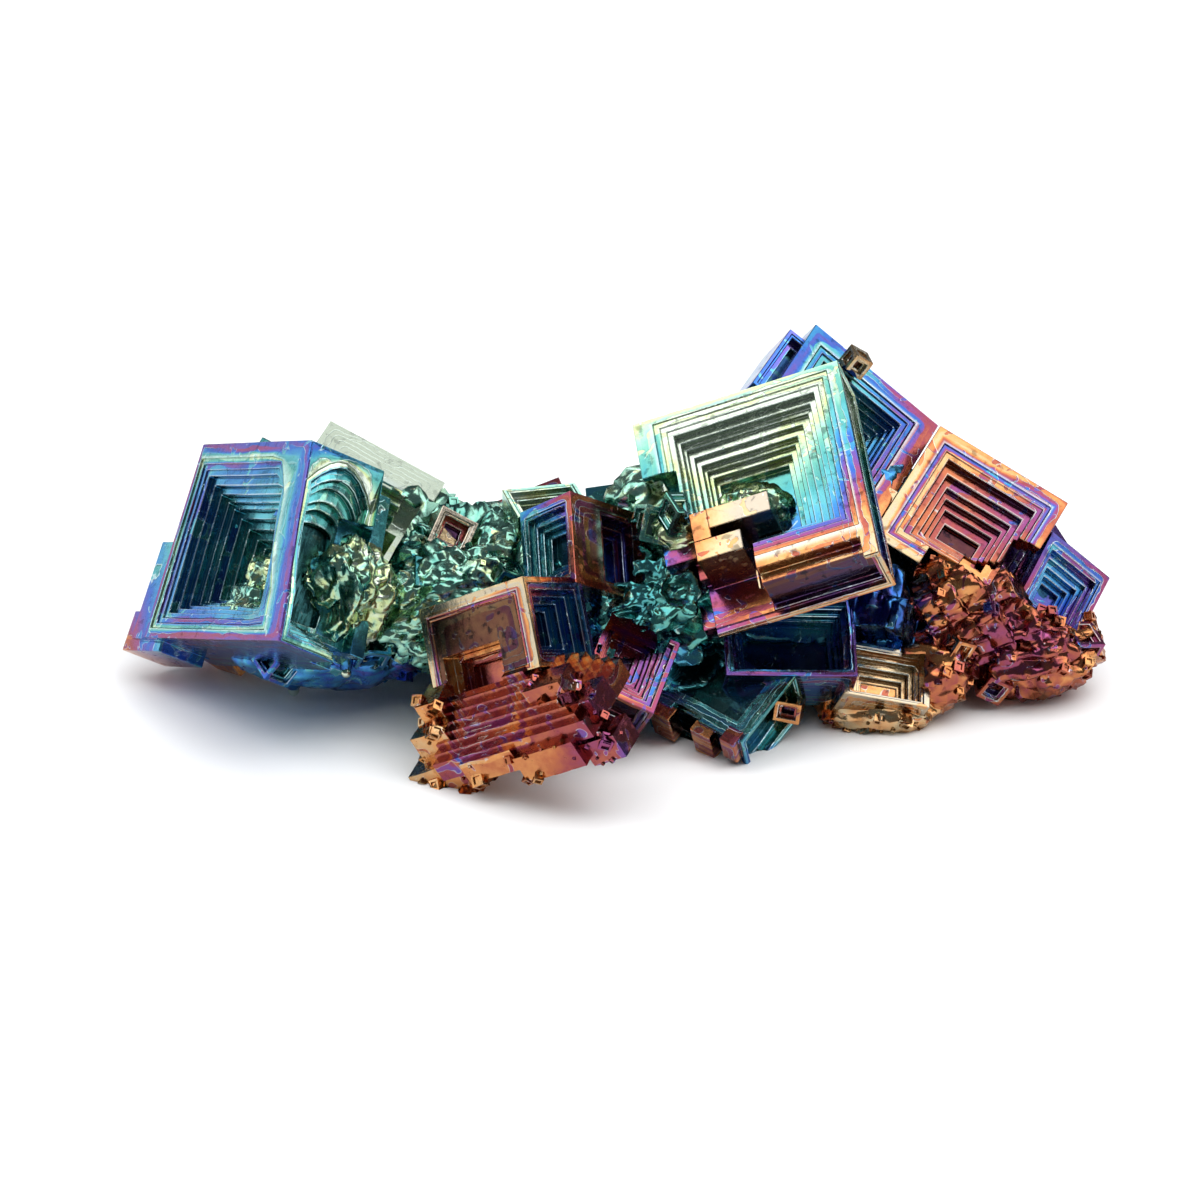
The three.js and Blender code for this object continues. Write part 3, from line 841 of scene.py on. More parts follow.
@dataclass
class Hopper:
    """One hopper crystal. Its own frame has x to the right, y into the crystal and z up.

    `stairs` sinks a stepped hollow in a side, `behind` adds narrower, deeper blocks as inset and
    depth, `notches` are ungrown corners, `ledges` outgrowths with their own film in `growth`, and
    `pits` hollows that stay open. The hollows of the `opens` sides stay clear of the growth around
    them for `reach` in front. `flare` widens the crystal towards its foot and `arch` bows the steps
    of its right side. `wave` and `pitch` make its edges uneven, less so along `calm`.
    """

    name: str
    at: Triple
    size: Triple
    turn: Triple
    stairs: dict[Side, Flight]
    film: Film
    behind: tuple[tuple[float, float], ...] = ()
    notches: tuple[Limits, ...] = ()
    ledges: tuple[Limits, ...] = ()
    growth: Union[Film, None] = None
    pits: tuple[Limits, ...] = ()
    opens: tuple[Side, ...] = (FRONT,)
    reach: float = 1.0
    flare: float = 0.0
    arch: float = 0.0
    detail: int = 2
    wave: float = 0.12
    calm: Triple = (0.0, 0.0, 0.0)
    pitch: float = 0.45
    bevel: float = 0.05
    grain: float = 0.0
    seed: int = 1

    def weathered(
        self, shop: Workshop, limits: Limits, stairs: dict[Side, Flight], detail: int,
        film: Union[Film, None] = None,
    ) -> bpy.types.Mesh:
        """Carves, subdivides and marks one block.

        Args:
            shop: The shared trees.
            limits: The block.
            stairs: The hollows sunk in it.
            detail: How often it is subdivided.
            film: Its film, when it isn't the crystal's own.

        Returns:
            The closed mesh in the crystal's own frame.
        """
        film = film or self.film
        obj = hold(box_mesh(limits))
        for side, flight in stairs.items():
            number, across, up, out = side.value
            sizes = {"Side": number, "Across": across, "Up": up, "Out": out}
            for title, (left, right, bottom, top) in (("Rim", flight.rim), ("Tread", flight.tread)):
                sizes[f"{title} Low"] = (left, bottom, 0.0)
                sizes[f"{title} High"] = (right, top, 0.0)
            follow(obj, shop.hollow.tree, {
                **sizes, "Riser": flight.riser, "Steps": flight.steps, "Ledges": flight.ledges,
                "Drop": flight.drop, "Ledge": flight.ledge, "Seed": self.seed * 13 + number,
            })
        w, d, h = self.size
        follow(obj, shop.weathering.tree, {
            "Level": detail, "Wave": self.wave, "Calm": self.calm, "Pitch": self.pitch,
            "Seed": float(self.seed), "Half": (w / 2, d / 2, h / 2), "Flare": self.flare,
            "Arch": self.arch, "Rim": film.rim, "Slope": film.slope, "Inner": film.inner,
            "Ring": film.ring, "Grain": self.grain,
        })
        return applied(obj)

    def body(self, shop: Workshop) -> bpy.types.Mesh:
        """Builds the crystal in the cluster.

        Args:
            shop: The shared trees.

        Returns:
            Its closed mesh, in place, in millimetres.
        """
        w, d, h = self.size
        mesh = self.weathered(shop, (-w / 2, w / 2, 0.0, d, -h / 2, h / 2), self.stairs, self.detail)
        for inset, depth in self.behind:
            x, z = w / 2 - inset, h / 2 - inset
            block = (-x, x, d - OVERLAP, depth, -z, z)
            mesh = worked(mesh, self.weathered(shop, block, {}, 1), Join.ADD)
        for limits in (*self.notches, *self.pits):
            mesh = worked(mesh, self.weathered(shop, limits, {}, 1), Join.CUT)
        for limits in self.ledges:
            mesh = worked(mesh, self.weathered(shop, limits, {}, 1, self.growth), Join.ADD)
        obj = hold(mesh)
        edge = obj.modifiers.new("edge", "BEVEL")
        edge.width = self.bevel
        edge.segments = 1
        edge.limit_method = "ANGLE"
        edge.angle_limit = math.radians(SHARP_DEGREES)
        edge.use_clamp_overlap = False
        mesh = applied(obj)
        mesh.transform(placing(self.turn, self.at))
        return mesh

    def clearing(self, shop: Workshop) -> list[bpy.types.Mesh]:
        """The spaces in and before its hollows that stay open."""
        w, d, h = self.size
        spaces = list(self.pits)
        for side in (side for side in self.opens if side in self.stairs):
            stairs = self.stairs[side]
            spread = [tread * (stairs.steps - 1) / 2 for tread in stairs.tread]
            deep = stairs.riser * stairs.steps
            for part, share in ((0.0, 0.5), (1.0, 0.95)):
                l, r, b, t = (edge + grow * part for edge, grow in zip(stairs.rim, spread))
                depth = deep * share
                if side is FRONT:
                    spaces.append((-w / 2 + l, w / 2 - r, -self.reach, depth, -h / 2 + b, h / 2 - t))
                else:
                    spaces.append((w / 2 - depth, w / 2 + self.reach, l, d - r, -h / 2 + b, h / 2 - t))
        made = [self.weathered(shop, limits, {}, 0) for limits in spaces]
        for mesh in made:
            mesh.transform(placing(self.turn, self.at))
        return made


def plain(steps: int, rim: float, tread: float, riser: float, ledges: int = 1) -> Flight:
    """A flight with equal sides."""
    return Flight(steps, (rim,) * 4, (tread,) * 4, riser, ledges)


FINE = plain(5, 1.3, 0.55, 0.62, 2)
SHORT = plain(3, 1.1, 0.5, 0.55)
TINY = Flight(2, (0.5,) * 4, (0.35,) * 4, 0.5, 1, 0.06, 0.2)

CRYSTALS = (
    Hopper(
        "left_tower", (-27.7, -0.2, 13), (15.2, 6.4, 14.8), (-34, -20, -53),
        {
            FRONT: Flight(10, (1.7, 3, 2, 2.4), (0.4, 0.2, 0.36, 0.5), 0.5, 3),
            RIGHT: Flight(6, (0.8, 0.4, 0.5, 1.0), (0.28, 0.28, 0.4, 0.9), 0.42, 1),
            LEFT: SHORT,
        },
        Film(0.53, (0.005, 0.03, 0.005), 0.13, 0.38), behind=((1.4, 8.2),),
        notches=((5.2, 9, 4.6, 7, -9, 3.2),),
        ledges=((-9.5, -6.4, 0.3, 5, -7.4, 0), (-10.7, -6.4, 0.7, 4.5, -8.2, -5.2)),
        growth=Film(1.28, (0.07, 0, 0.04), 0.0),
        opens=(FRONT, RIGHT), flare=3.8, arch=3.0, detail=3, wave=0.6,
        calm=(0.10, 0.12, -0.05), pitch=0.24,
    ),
    Hopper(
        "left_crown", (-18.1, 3, 15.4), (9.4, 8, 9.4), (-73, 25, -14),
        {
            FRONT: Flight(8, (1.3, 0.6, 0.5, 3.2), (0.4, 0.15, 0.1, 0.56), 0.5, 1, 0.1, 0.3),
            BOTTOM: Flight(6, (1, 1, 1.2, 1), (0.42, 0.42, 0.4, 0.4), 0.4, 1), TOP: TINY,
        },
        Film(0.93, (0, -0.03, 0.01), -0.18),
        notches=((2.8, 6, -1, 4, -6, 2.4), (-1, 6, -1, 5, -6, -2.8)), wave=0.3,
    ),
    Hopper("saddle_cube", (-11.6, 0, 13.5), (2.9, 4, 2.9), (-41, 30, 0), {FRONT: TINY},
           Film(0.16, (0, 0.1, 0), 0.3)),
    Hopper(
        "middle_post", (-0.7, -3, 13.7), (6.9, 5, 6.9), (-38, 29, 37),
        {
            FRONT: Flight(4, (3.2, 0.6, 0.9, 1), (0.25, 0.2, 0.38, 0.38), 0.75, 1, 0.08, 0.2),
            LEFT: Flight(4, (0.7, 0.7, 0.9, 0.9), (0.3, 0.3, 0.45, 0.45), 0.45, 1, 0.08, 0.2),
        },
        Film(0.44, (0.0, 0.06, 0), 0.12),
    ),
    Hopper("middle_cube", (-4.4, 0.6, 11.7), (5.4, 5, 6), (0, 0, 14),
           {FRONT: SHORT, TOP: TINY}, Film(0.80, (0, 0, 0.03), 0.05)),
    Hopper(
        "right_tower", (9.5, -3, 18.3), (15.4, 4.6, 16.6), (-57, -20, -3),
        {
            FRONT: Flight(9, (2.7, 2.2, 4, 1.8), (0.3, 0.5, 0.34, 0.46), 0.48, 3),
            RIGHT: TINY, BOTTOM: TINY, TOP: TINY, LEFT: TINY,
        },
        Film(0.58, (-0.006, 0.03, 0.052), 0.16, -0.05), behind=((1.3, 6.4), (2.9, 8.4)),
        growth=Film(0.02, (-0.05, 0.03, 0.0)),
        notches=(
            (-9, -5.3, -1, 5, -9, 3.5), (-9, -0.9, -1, 4, -9, -0.6), (-0.9, 6.6, -1, 0.9, -9, -6.6),
            (3.2, 5.6, 0, 2.2, -9, -7.4),
        ),
        ledges=(
            (-4.9, 0.9, 0, 5, -2.2, -0.6), (-4.9, -3.6, 0, 5, -4.6, -0.6), (-4.9, -1.5, 0, 5, -4.6, -3),
            (-7.6, -5, 2, 6, -2.9, 1.8), (-5.6, -4, 3, 6, -4.2, 2),
        ),
        wave=0.14,
    ),
    Hopper("back_right_crown", (16.4, 6, 19.3), (11.6, 6.4, 11.6), (-67, 38, -12),
           {FRONT: Flight(10, (2, 2.4, 1.8, 2.2), (0.33, 0.3, 0.34, 0.3), 0.5, 2), TOP: SHORT,
            RIGHT: SHORT},
           Film(0.46, (-0.02, 0.02, 0.012), 0.16, 0.12), behind=((1.4, 8.4),)),
    Hopper("crown_plate", (12.5, 9, 22.2), (3.5, 5, 5.8), (-60, 36, -14),
           {FRONT: TINY}, Film(0.53, (0, 0, 0), 0.05), detail=1),
    Hopper("right_shoulder", (25.2, 2, 13.7), (10.7, 6, 10.2), (-54, 26, -19),
           {FRONT: Flight(6, (1.8, 1.7, 1.6, 1.9), (0.4, 0.4, 0.4, 0.6), 0.55, 2),
            RIGHT: SHORT},
           Film(0.21, (0.004, 0.02, 0.01), 0.10, 0.25), behind=((1.4, 7.4),),
           notches=((-1.4, 6, -1, 4.8, -6, -3.2), (1, 6, -1, 4.4, -6, -1.4), (3.4, 6, -1, 3.4, -6, 0.8)),
           ledges=((-6.1, -4.4, 0.4, 3, -4.6, -1),)),
    Hopper("far_right", (32.2, 3, 7.7), (5.7, 6, 6.3), (-45, 41, 1),
           {FRONT: Flight(5, (0.7, 0.8, 0.6, 1.1), (0.28, 0.28, 0.3, 0.38), 0.5, 1, 0.08, 0.25),
            RIGHT: TINY}, Film(0.42, (0, 0.02, 0.01), 0.08)),
    Hopper(
        "front_block", (-9.6, -10.5, 10.2), (9.6, 6.5, 6.4), (-23, -28, -29),
        {
            FRONT: Flight(0, (1.1, 1.4, 0.5, 1.3), (0.3,) * 4, 0.4, 2, 0.05, 0.25),
            RIGHT: Flight(4, (0.7, 0.9, 0.8, 0.9), (0.4, 0.4, 0.32, 0.32), 0.55, 1),
            LEFT: TINY, TOP: SHORT,
        },
        Film(0.28, (0.0, 0.06, 0), 0.22, 0.18),
        pits=((-3.5, 1.6, -1, 1.2, -3.4, -0.6), (-2.9, 1, -1, 1.9, -3.4, -1),
              (-2.4, 0.4, -1, 2.6, -3.4, -1.4)),
        opens=(RIGHT,),
    ),
    Hopper("fan", (0.9, -7.4, 6.9), (5.8, 4.6, 6), (-54, 24, -6),
           {FRONT: Flight(7, (0.4, 0.4, 0.4, 0.4), (0.16, 0.34, 0.4, 0.1), 0.34, 0),
            BOTTOM: TINY}, Film(0.31, (0.015, 0, 0.015), 0.02),
           notches=((-4, 2.1, -1, 2, 2.0, 4), (-4, -2.1, -1, 2, -1.6, 4)), wave=0.4),
    Hopper("front_pit", (12.2, -4.4, 7.5), (9.4, 5.2, 6.2), (-50, 3, 5),
           {FRONT: Flight(5, (0.6, 0.5, 0.6, 0.4), (0.3, 0.26, 0.22, 0.2), 0.7, 1, 0.14, 0.26),
            LEFT: TINY, RIGHT: TINY},
           Film(0.50, (0, 0.02, 0.02), 0.04, 0.06), reach=2.4, wave=0.7, pitch=0.25),
    Hopper("front_basin", (7.2, -6.1, 4.6), (8.8, 4.4, 6.8), (-62, 9, -37),
           {FRONT: Flight(1, (1.1, 0.9, 1.4, 1.0), (0.5, 0.4, 0.3, 0.5), 0.3, 3, 0.14, 0.5),
            RIGHT: TINY, BOTTOM: TINY},
           Film(0.61, (0, -0.01, 0.01), 0.02), growth=Film(0.20, (0.02, 0, 0)),
           notches=((-5, -3.4, -1, 0.8, -5, -2.6), (-1.8, 0.6, -1, 0.7, -5, -2.8)),
           ledges=((-3.2, -1.4, 0.2, 3, -4.3, -3.2), (0.3, 2, 0.3, 3, -4.1, -3.2),
                   (2.9, 4.1, -0.2, 2, -4, -2.7)),
           wave=0.5, pitch=0.25),
    Hopper("front_step", (19.2, -4, 4.3), (6.4, 5, 4.3), (-54, 14, 7),
           {FRONT: Flight(5, (0.6, 0.7, 0.4, 0.5), (0.3, 0.3, 0.2, 0.4), 0.42, 1, 0.06, 0.2),
            RIGHT: TINY}, Film(0.10, (0, 0.03, 0), 0.02), reach=2.0),
    Hopper("front_chip", (12, -6.4, 2.4), (1.9, 2.6, 1.5), (-12, 6, -12),
           {FRONT: Flight(2, (0.3,) * 4, (0.2,) * 4, 0.5, 0)}, Film(0.08, (0, 0, 0), 0.4)),
    # the back, which is plainer
    *(Hopper(*row, detail=1) for row in (
        ("rear_left", (-20, 11, 12), (10.6, 7, 10.6), (-48, -14, 150),
         {FRONT: plain(6, 1.4, 0.5, 0.6, 2), LEFT: SHORT, TOP: TINY}, Film(0.5, (0.02, 0, 0.02), 0.15)),
        ("rear_left_low", (-26.5, 8, 6), (7, 6, 7), (-30, 16, 118),
         {FRONT: FINE, RIGHT: TINY}, Film(0.3, (0.02, 0, 0.02), 0.2)),
        ("rear_middle_left", (-7.4, 12.2, 8.8), (8, 6, 8), (-34, 18, -168),
         {FRONT: FINE, LEFT: SHORT}, Film(0.22, (0, 0, 0.03), 0.3)),
        ("rear_middle", (3.4, 11.8, 11.6), (9.6, 7, 9), (-56, 12, 172),
         {FRONT: plain(6, 1.3, 0.5, 0.6, 2), LEFT: SHORT}, Film(0.66, (-0.02, 0, 0.02), 0.1)),
        ("rear_right", (17, 15, 13), (9, 8, 9.6), (-38, -20, 164),
         {FRONT: FINE, LEFT: SHORT}, Film(0.4, (0.02, 0, 0.02), 0.15)),
        ("rear_right_end", (26.4, 10.4, 8.6), (8.4, 6, 8), (-46, 20, -154),
         {FRONT: FINE, RIGHT: SHORT}, Film(0.24, (0, 0, 0.02), 0.1)),
        ("rear_foot_left", (-13, 11.4, 3.2), (7.4, 7, 7), (-12, 8, 168),
         {FRONT: SHORT, LEFT: TINY}, Film(0.5, (0.03, 0, 0), 0.1)),
        ("rear_foot_right", (9.4, 14.4, 3.4), (8, 7, 7), (-15, -10, 176),
         {FRONT: FINE}, Film(0.34, (0, 0, 0.03), 0.1)),
        ("left_end", (-30.4, 3.8, 8), (5, 5, 5), (-20, 24, -96),
         {FRONT: SHORT}, Film(0.5, (0, 0, 0.02), 0.1)),
    )),
)


@dataclass
class Stair:
    """The widening flight below the front block. Its own frame starts at the top step's edge.

    `tread_edges` and `block_edges` are the wave, the pitch and the share of grains.
    """

    at: Triple = (-9.05, -12.1, 7.85)
    turn: Triple = (15, -28, -29)
    steps: int = 8
    drop: float = 0.45
    forward: float = 0.5
    left: float = -3.7
    spread_left: float = 0.2
    right: float = 3.5
    spread_right: float = 0.7
    back: float = 3.0
    base: float = -4.6
    span: Triple = (8.0, 3.0, 8.0)
    film: Film = Film(0.19, (0.0, -0.012, -0.012), 0.0)
    foot: Film = Film(0.21, (0.012, 0.0, 0.0), 0.0)
    tread_edges: tuple[float, float, float] = (0.5, 0.35, 0.0)
    block_edges: tuple[float, float, float] = (0.8, 0.7, 0.35)
    blocks: tuple[Limits, ...] = (
        (-7.8, -3.4, -3.8, 1, -7, -3.6), (-6.6, -3.5, -2.8, 1, -4.4, -1.4),
        (-5.4, -3.4, -1.8, 1, -2, 0.4), (-2.8, 1.8, -4.4, -1, -5.2, -3.5),
        (1.8, 7, -4.7, -1, -6.2, -4.1), (7, 9.8, -4, -1.5, -6.8, -4.9),
        (3.8, 7, -2.2, 0, -2.2, -0.7), (6.4, 8.8, -2.8, 0, -4.2, -2.4),
    )
    detail: int = 4

    def _limits(self) -> Iterable[tuple[Limits, Film]]:
        """Every tread and block with its film."""
        for i in range(self.steps):
            yield (
                (self.left - i * self.spread_left, self.right + i * self.spread_right,
                 -self.forward * (i + 1), self.back, self.base, -i * self.drop), self.film,
            )
        for block in self.blocks:
            yield block, self.foot

    def body(self, shop: Workshop) -> bpy.types.Mesh:
        """Builds the flight, in place."""
        whole = None
        for number, (limits, film) in enumerate(self._limits()):
            wave, pitch, grain = self.block_edges if film is self.foot else self.tread_edges
            piece = Hopper("tread", self.at, self.span, self.turn, {}, film, seed=number + 3,
                           wave=wave, pitch=pitch, grain=grain)
            mesh = piece.weathered(shop, limits, {}, self.detail)
            whole = mesh if whole is None else worked(whole, mesh, Join.ADD)
        whole.transform(placing(self.turn, self.at))
        return whole


@dataclass(frozen=True)
class Lump:
    """A massive, folded or terraced lump: `fold` in millimetres, `terrace` from 0 to 1."""

    middle: Triple
    radii: Triple
    film: float
    turn: Triple = (20.0, 30.0, 10.0)
    fold: float = 1.7
    terrace: float = 0.5
    tread: Triple = (0.7, 1.1, 0.6)
    grain: float = 0.05
    detail: int = 5


LUMPS = (
    Lump((-20, 3, 8), (9, 7, 5), 0.70, (30, 20, 50), detail=4),
    Lump((-20.5, 0.5, 4.8), (7.5, 4.6, 2.8), 0.50, (10, 10, 30), 0.5, 0.15),
    Lump((-10, 2, 8), (9, 7.5, 5), 0.82, (60, 10, 20), 1.7, 0.1, detail=6),
    Lump((1, 2, 8.4), (9, 7.5, 5.2), 0.74, (20, 50, 0), 1.7, 0.1, detail=6),
    Lump((12, 5, 8), (10, 6.6, 5.6), 0.62, (-57, -20, -3), 0.6, 0.9, detail=4),
    Lump((23.5, 7.2, 6.2), (8, 5, 5), 0.24, (-54, 26, -19), 1.1, 0.9, (0.9, 0.5, 0.9), 0.15, 4),
    Lump((29.5, 2.2, 4), (5.2, 4, 3.8), 0.22, (-45, 41, 1), 1.1, 0.5, (0.9, 0.7, 0.9), 0.25),
    Lump((-6, -5, 7), (5, 5, 3.8), 0.54, (-23, -28, -29), 0.7, 0.6),
    Lump((22.4, -1.6, 3.4), (3, 2.6, 2.7), 0.20, (-54, 14, 7), 0.6, 0.8, (0.6, 0.5, 0.6), 0.3, 4),
    Lump((18.8, -2.8, 1.4), (4.4, 2.4, 1.8), 0.10, (-54, 14, 7), 0.5, 0.8, (0.5, 0.5, 0.5), 0.8, 4),
    Lump((9, 3, 12), (6, 5, 4.4), 0.66, (-57, -20, -3), 0.8, 0.9, detail=4),
    Lump((17, 7, 12.6), (5, 5, 5), 0.55, (-67, 38, -12), 0.8, 0.9, detail=4),
    Lump((4.4, -2.6, 5), (3.8, 2.8, 2.8), 0.60, (-62, 9, -37), 0.7, 0.5, detail=4),
    Lump((-15, 5, 11), (4, 4, 3.4), 0.86, (-41, 30, 0), detail=4),
    Lump((4.6, -1, 14.2), (2.2, 1.8, 2), 0.93, (-20, 20, 10), 0.7, 0.5, detail=4),
    Lump((-18.8, -4.4, 10.6), (2.9, 2.6, 3.6), 0.90, (50, 30, 50), 1.2, 0.1),
    Lump((24.9, 0.6, 7.4), (4.2, 2.8, 4.2), 0.25, (-54, 26, -19), 1.0, 0.9, (1.6, 0.5, 0.7), 0.1),
    Lump((3, 4.5, 13.8), (3.6, 2.6, 2.2), 0.90, (20, 50, 0), 1.0, 0.1, detail=4),
    Lump((18.9, -0.8, 7.8), (2.7, 2.4, 3.4), 0.50, (-48, 6, 12), 0.3, 0.95, (0.6, 2.4, 3.0), 0.0),
    # two drips, blue with a silver end
    *(Lump(middle, radii, film, fold=0.0, terrace=0.0, detail=3) for middle, radii, film in (
        ((-23.3, 0.6, 1.8), (0.7, 0.7, 1.1), 0.52), ((-23.3, 0.6, 0.8), (0.42, 0.42, 0.5), 1.0),
        ((-19.2, -4.0, 5.4), (0.5, 0.5, 1.2), 0.52), ((-19.2, -4.2, 4.5), (0.4, 0.4, 0.4), 1.0),
    )),
)
# crumpled growth in the two great hollows and on the left tower's right side
FLOORS = (
    Lump((-23.8, -1.0, 9.8), (2.2, 2.0, 2.4), 0.90, (-34, -20, -53), 0.9, 0.15),
    Lump((-25.5, -2.3, 8.4), (2.8, 2.4, 1.5), 0.84, (-34, -20, -53), 0.9, 0.15),
    Lump((-19.1, -4.6, 10.6), (2.0, 2.2, 3.8), 0.86, (50, 30, 50), 1.2, 0.15),
    Lump((9.8, -0.6, 15.5), (2.6, 1.8, 1.7), 0.92, (-57, -20, -3), 0.7, 0.3),
)
CUBES = (
    ((4.4, -2.4, 16), 2.2, (20, 12, 30), 0.8), ((2.6, -1.4, 14.6), 2.6, (-24, 20, 12), 0.84),
    ((17.2, 9.6, 22.6), 1.6, (12, 34, 20), 0.1), ((33.2, 1, 4.2), 2.4, (24, 12, 30), 0.4),
    ((27, -0.8, 2), 2.0, (16, 30, 12), 0.25), ((31, 0, 2), 1.8, (34, 12, 24), 0.2),
    ((24.2, -1.8, 5.4), 1.8, (14, 26, 34), 0.22), ((-13.4, -2, 10.4), 2.6, (30, 16, 10), 0.7),
    ((-8, -2.6, 11), 2.4, (12, 30, 24), 0.7), ((-24, -3.4, 5), 2.4, (20, 34, 40), 0.5),
    ((-17.4, -3.4, 6), 2.2, (36, 12, 16), 0.6), ((10.6, 12.8, 9.6), 3.2, (14, 24, 36), 0.6),
    ((-16, 12.6, 7.6), 2.8, (22, 30, 12), 0.4),
)


@dataclass
class Cluster:
    """The whole specimen.

    `trim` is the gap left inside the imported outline, in millimetres. The grains lie in the two ways
    of `grain_turns`, the second half as dense.
    """

    shop: Workshop
    trim: float = 0.02
    grain_density: float = 1.1
    grain_edges: tuple[float, float] = (0.2, 0.9)
    grain_loose: float = 0.25
    grain_turns: tuple[Triple, ...] = ((-0.9, 0.4, 0.1), (-0.5, -0.4, -0.5))
    cube_stair: Flight = Flight(2, (0.35,) * 4, (0.22,) * 4, 0.3, 0)

    def _lump(self, lump: Lump) -> bpy.types.Mesh:
        """One massive lump, in place."""
        bm = bmesh.new()
        bmesh.ops.create_icosphere(bm, subdivisions=lump.detail, radius=1.0)
        mesh = bpy.data.meshes.new("lump")
        bm.to_mesh(mesh)
        bm.free()
        obj = hold(mesh)
        follow(obj, self.shop.crumple.tree, {
            "Middle": lump.middle, "Radii": lump.radii,
            "Turn": tuple(math.radians(angle) for angle in lump.turn), "Fold": lump.fold,
            "Terrace": lump.terrace, "Tread": lump.tread, "Rim": lump.film, "Grain": lump.grain,
        })
        return applied(obj)

    def _cube(self, number: int, at: Triple, edge: float, turn: Triple, film: float) -> bpy.types.Mesh:
        """One small hopper cube, in place."""
        half = edge / 2
        face = Vector(at) - placing(turn, (0, 0, 0)).to_3x3() @ Vector((0, half, 0))
        stairs = {side: self.cube_stair for side in (FRONT, RIGHT, LEFT, TOP)}
        cube = Hopper("cube", tuple(face), (edge, edge, edge), turn, stairs, Film(film), seed=number,
                      detail=1, wave=0.06)
        return cube.body(self.shop)

    def body(self) -> bpy.types.Mesh:
        """Grows everything together.

        Returns:
            The mesh in millimetres, laid out as the crystals are.
        """
        mass = None
        for lump in LUMPS:
            ball = self._lump(lump)
            mass = ball if mass is None else worked(mass, ball, Join.ADD)
        LOG.info("masses: %d faces", len(mass.polygons))
        for number, (at, edge, turn, film) in enumerate(CUBES):
            mass = worked(mass, self._cube(number, at, edge, turn, film), Join.ADD)
        mass = worked(mass, Stair().body(self.shop), Join.ADD)
        LOG.info("masses, cubes and stair: %d faces", len(mass.polygons))
        for number, crystal in enumerate(reversed(CRYSTALS)):
            crystal.seed = number + 1
            for space in crystal.clearing(self.shop):
                mass = worked(mass, space, Join.CUT)
            body = crystal.body(self.shop)
            count = len(body.polygons)
            mass = worked(mass, body, Join.ADD)
            LOG.info("%s: %d faces, cluster %d", crystal.name, count, len(mass.polygons))
        for lump in FLOORS:
            mass = worked(mass, self._lump(lump), Join.ADD)
        return mass

    def _trimmed(self, mesh: bpy.types.Mesh) -> bpy.types.Mesh:
        """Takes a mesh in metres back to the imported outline, with flat feet."""
        low, high = (Vector(corner) for corner in CAD_BOX)
        gap = Vector((self.trim,) * 3) * MM
        (x0, y0, z0), (x1, y1, z1) = low + gap, high - gap
        return worked(mesh, box_mesh((x0, x1, y0, y1, 0.0, z1)), Join.SHARE)

    def _finished(self, mesh: bpy.types.Mesh, name: str) -> bpy.types.Object:
        """Puts a finished mesh in the scene as a piece.

        Args:
            mesh: The mesh, in metres.
            name: The piece's name.

        Returns:
            The piece.
        """
        mesh.name = name
        mesh.materials.clear()
        mesh.materials.append(self.shop.finish)
        mesh.polygons.foreach_set("material_index", [0] * len(mesh.polygons))
        piece = hold(mesh, name)
        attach(piece, "root")
        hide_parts(NODE)
        return piece

    def _grains(self, mesh: bpy.types.Mesh) -> bpy.types.Mesh:
        """The small loose-grown cubes on the coarse parts of the surface."""
        whole = bmesh.new()
        small, large = self.grain_edges
        for seed, turn in enumerate(self.grain_turns):
            obj = hold(mesh.copy())
            follow(obj, self.shop.grains.tree, {
                "Density": self.grain_density * (1.0 - 0.5 * seed), "Small": small, "Large": large,
                "Turn": turn, "Loose": self.grain_loose, "Seed": seed * 31 + 5,
            })
            grains = applied(obj)
            whole.from_mesh(grains)
            bpy.data.meshes.remove(grains)
        made = bpy.data.meshes.new("grains")
        whole.to_mesh(made)
        whole.free()
        return made

    def pieces(self) -> list[bpy.types.Object]:
        """The finished pieces in the scene."""
        settle = Matrix.Scale(MM, 4) @ Matrix.Translation(-LAYOUT_MIDDLE)
        body = self.body()
        grains = self._grains(body)
        low, high = (Vector(corner) for corner in CAD_BOX)
        for mesh in (body, grains):
            mesh.transform(settle)
        body = self._trimmed(body)
        edge = self.trim * MM
        for vertex in grains.vertices:
            for axis in range(3):
                vertex.co[axis] = min(max(vertex.co[axis], low[axis] + edge), high[axis] - edge)
        return [self._finished(body, "bismuth_crystals"), self._finished(grains, "bismuth_grains")]


# ---- surroundings --------------------------------------------------------------------------------


LAMPS = (
    ("left_high", (-0.46, -0.05, 0.60), (0.45, 0.5), 2.4),
    ("right_high", (0.36, -0.12, 0.60), (0.40, 0.6), 2.2),
    ("crown_light", (0.33, 0.30, 0.60), (0.26, 0.3), 1.0),
    ("back_high", (0.64, 0.10, 0.58), (0.34, 0.36), 2.0),
    ("left_window", (-0.52, 0.08, 0.13), (0.6, 0.24), 1.6, (0.90, 0.96, 1.0)),
    ("right_window", (0.5, -0.16, 0.20), (0.16, 0.3), 1.7, (1.0, 0.98, 0.95)),
    ("back_strip", (0.0, 0.6, 0.30), (0.9, 0.16), 2.4),
)


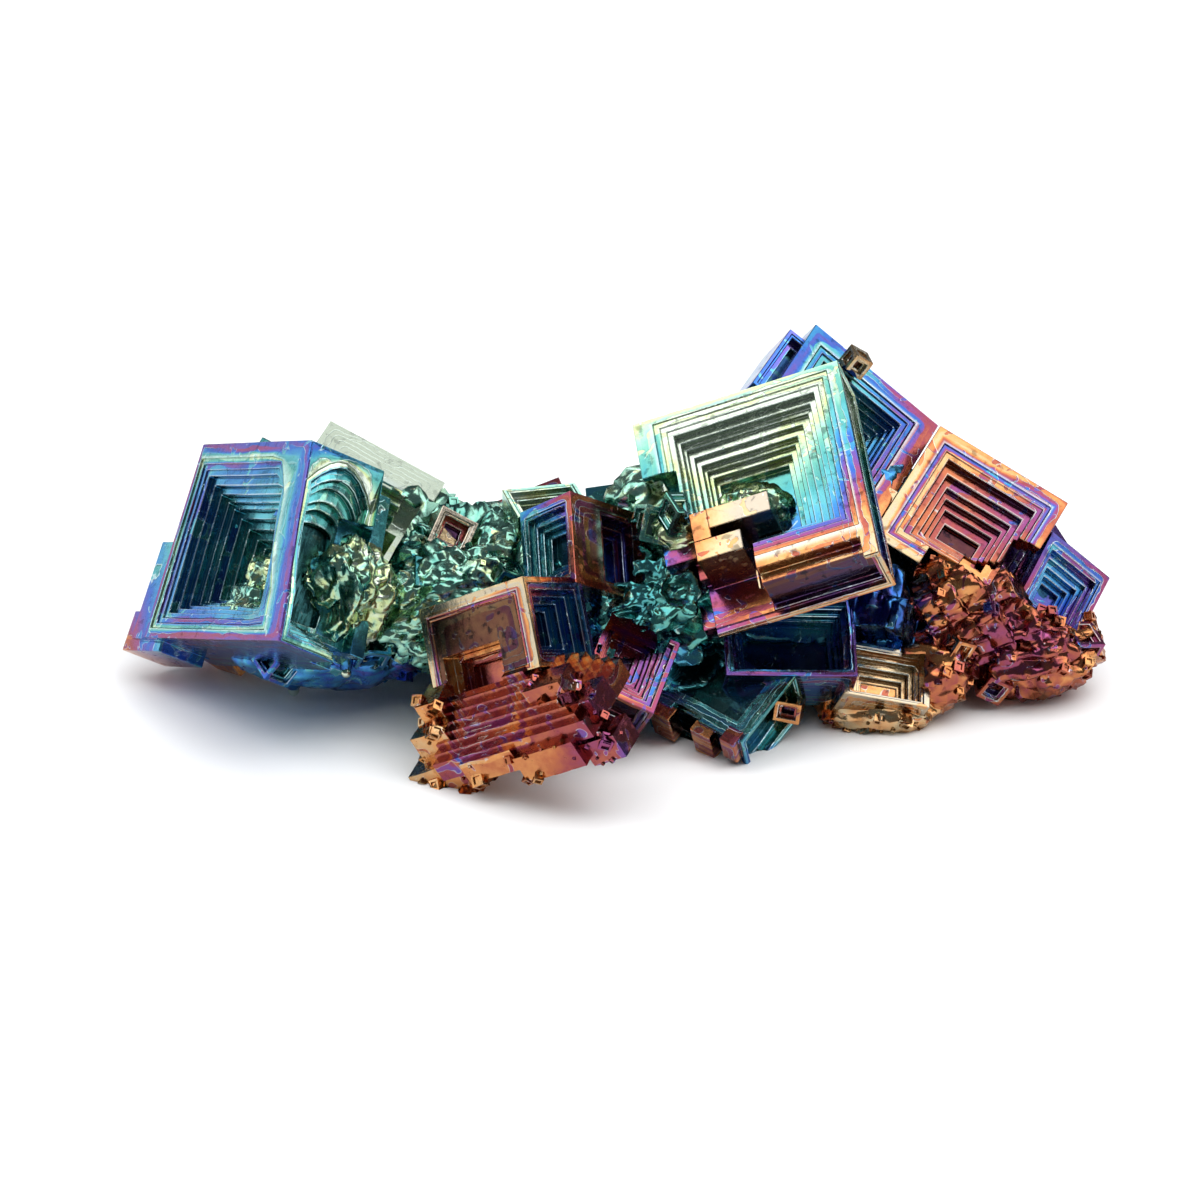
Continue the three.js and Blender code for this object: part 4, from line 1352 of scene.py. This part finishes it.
@dataclass
class Studio:
    """Floor, lights and camera."""

    azimuth: float = 0.0
    elevation: float = 25.0
    distance: float = 0.333
    lens: float = 140.0
    target: Triple = (-1.2, 0.0, 8.2)
    facing: Triple = (0.0, 0.0, 0.01)
    floor_grey: float = 0.93
    sky: Triple = (0.80, 0.90, 1.0)
    sky_glow: float = 0.16

    def floor(self) -> None:
        """A wide pale floor."""
        mesh = bpy.data.meshes.new("floor")
        mesh.from_pydata([(-1, -1, 0), (1, -1, 0), (1, 1, 0), (-1, 1, 0)], [], [(0, 1, 2, 3)])
        made = bpy.data.materials.new("pale_floor")
        made.use_nodes = True
        shader = made.node_tree.nodes["Principled BSDF"]
        shader.inputs["Base Color"].default_value = (*(self.floor_grey,) * 3, 1.0)
        shader.inputs["Roughness"].default_value = 0.7
        mesh.materials.append(made)
        hold(mesh, "floor")

    def light(
        self, name: str, at: Triple, size: tuple[float, float], glow: float,
        colour: Triple = (1.0, 1.0, 1.0), mirrored: bool = True,
    ) -> None:
        """A soft rectangular light that faces the cluster.

        Args:
            name: The light's name.
            at: Where it stands, in metres.
            size: Its width and height.
            glow: How bright its face is.
            colour: Its colour.
            mirrored: Whether the metal shows its reflection.
        """
        data = bpy.data.lights.new(name, "AREA")
        data.shape = "RECTANGLE"
        data.size, data.size_y = size
        data.energy = glow * math.pi * size[0] * size[1]
        data.color = colour
        lamp = hold(data, name)
        lamp.visible_glossy = mirrored
        lamp.location = at
        lamp.rotation_euler = (Vector(self.facing) - Vector(at)).to_track_quat("-Z", "Y").to_euler()

    def camera(self) -> None:
        """The camera, straight on to the cluster's front and looking down at it."""
        target = (Vector(self.target) - LAYOUT_MIDDLE) * MM
        turn, lift = math.radians(self.azimuth), math.radians(self.elevation)
        flat = math.cos(lift)
        away = Vector((-math.sin(turn) * flat, -math.cos(turn) * flat, math.sin(lift)))
        data = bpy.data.cameras.new("camera")
        data.lens = self.lens
        data.sensor_width = 36.0
        data.clip_start = 0.01
        camera = hold(data, "camera")
        camera.location = target + away * self.distance
        camera.rotation_euler = (-away).to_track_quat("-Z", "Y").to_euler()
        bpy.context.scene.camera = camera

    def build(self) -> None:
        """Sets everything up."""
        self.floor()
        self.camera()
        self.light("fill", (0.1, -0.2, 1.4), (1.6, 1.6), 2.3, mirrored=False)
        for lamp in LAMPS:
            self.light(*lamp)
        world = bpy.data.worlds.new("studio")
        world.use_nodes = True
        background = world.node_tree.nodes["Background"]
        background.inputs["Color"].default_value = (*self.sky, 1.0)
        background.inputs["Strength"].default_value = self.sky_glow
        bpy.context.scene.world = world
        bpy.context.scene.view_settings.view_transform = "Standard"


def main() -> None:
    """Builds the specimen and its surroundings."""
    logging.basicConfig(level=logging.INFO, format="%(message)s")
    shop = Workshop(OxideFinish().material())
    for piece in Cluster(shop).pieces():
        count = sum(len(polygon.vertices) - 2 for polygon in piece.data.polygons)
        LOG.info("piece %s: %d triangles", piece.name, count)
    Studio().build()


if __name__ == "__main__":
    main()
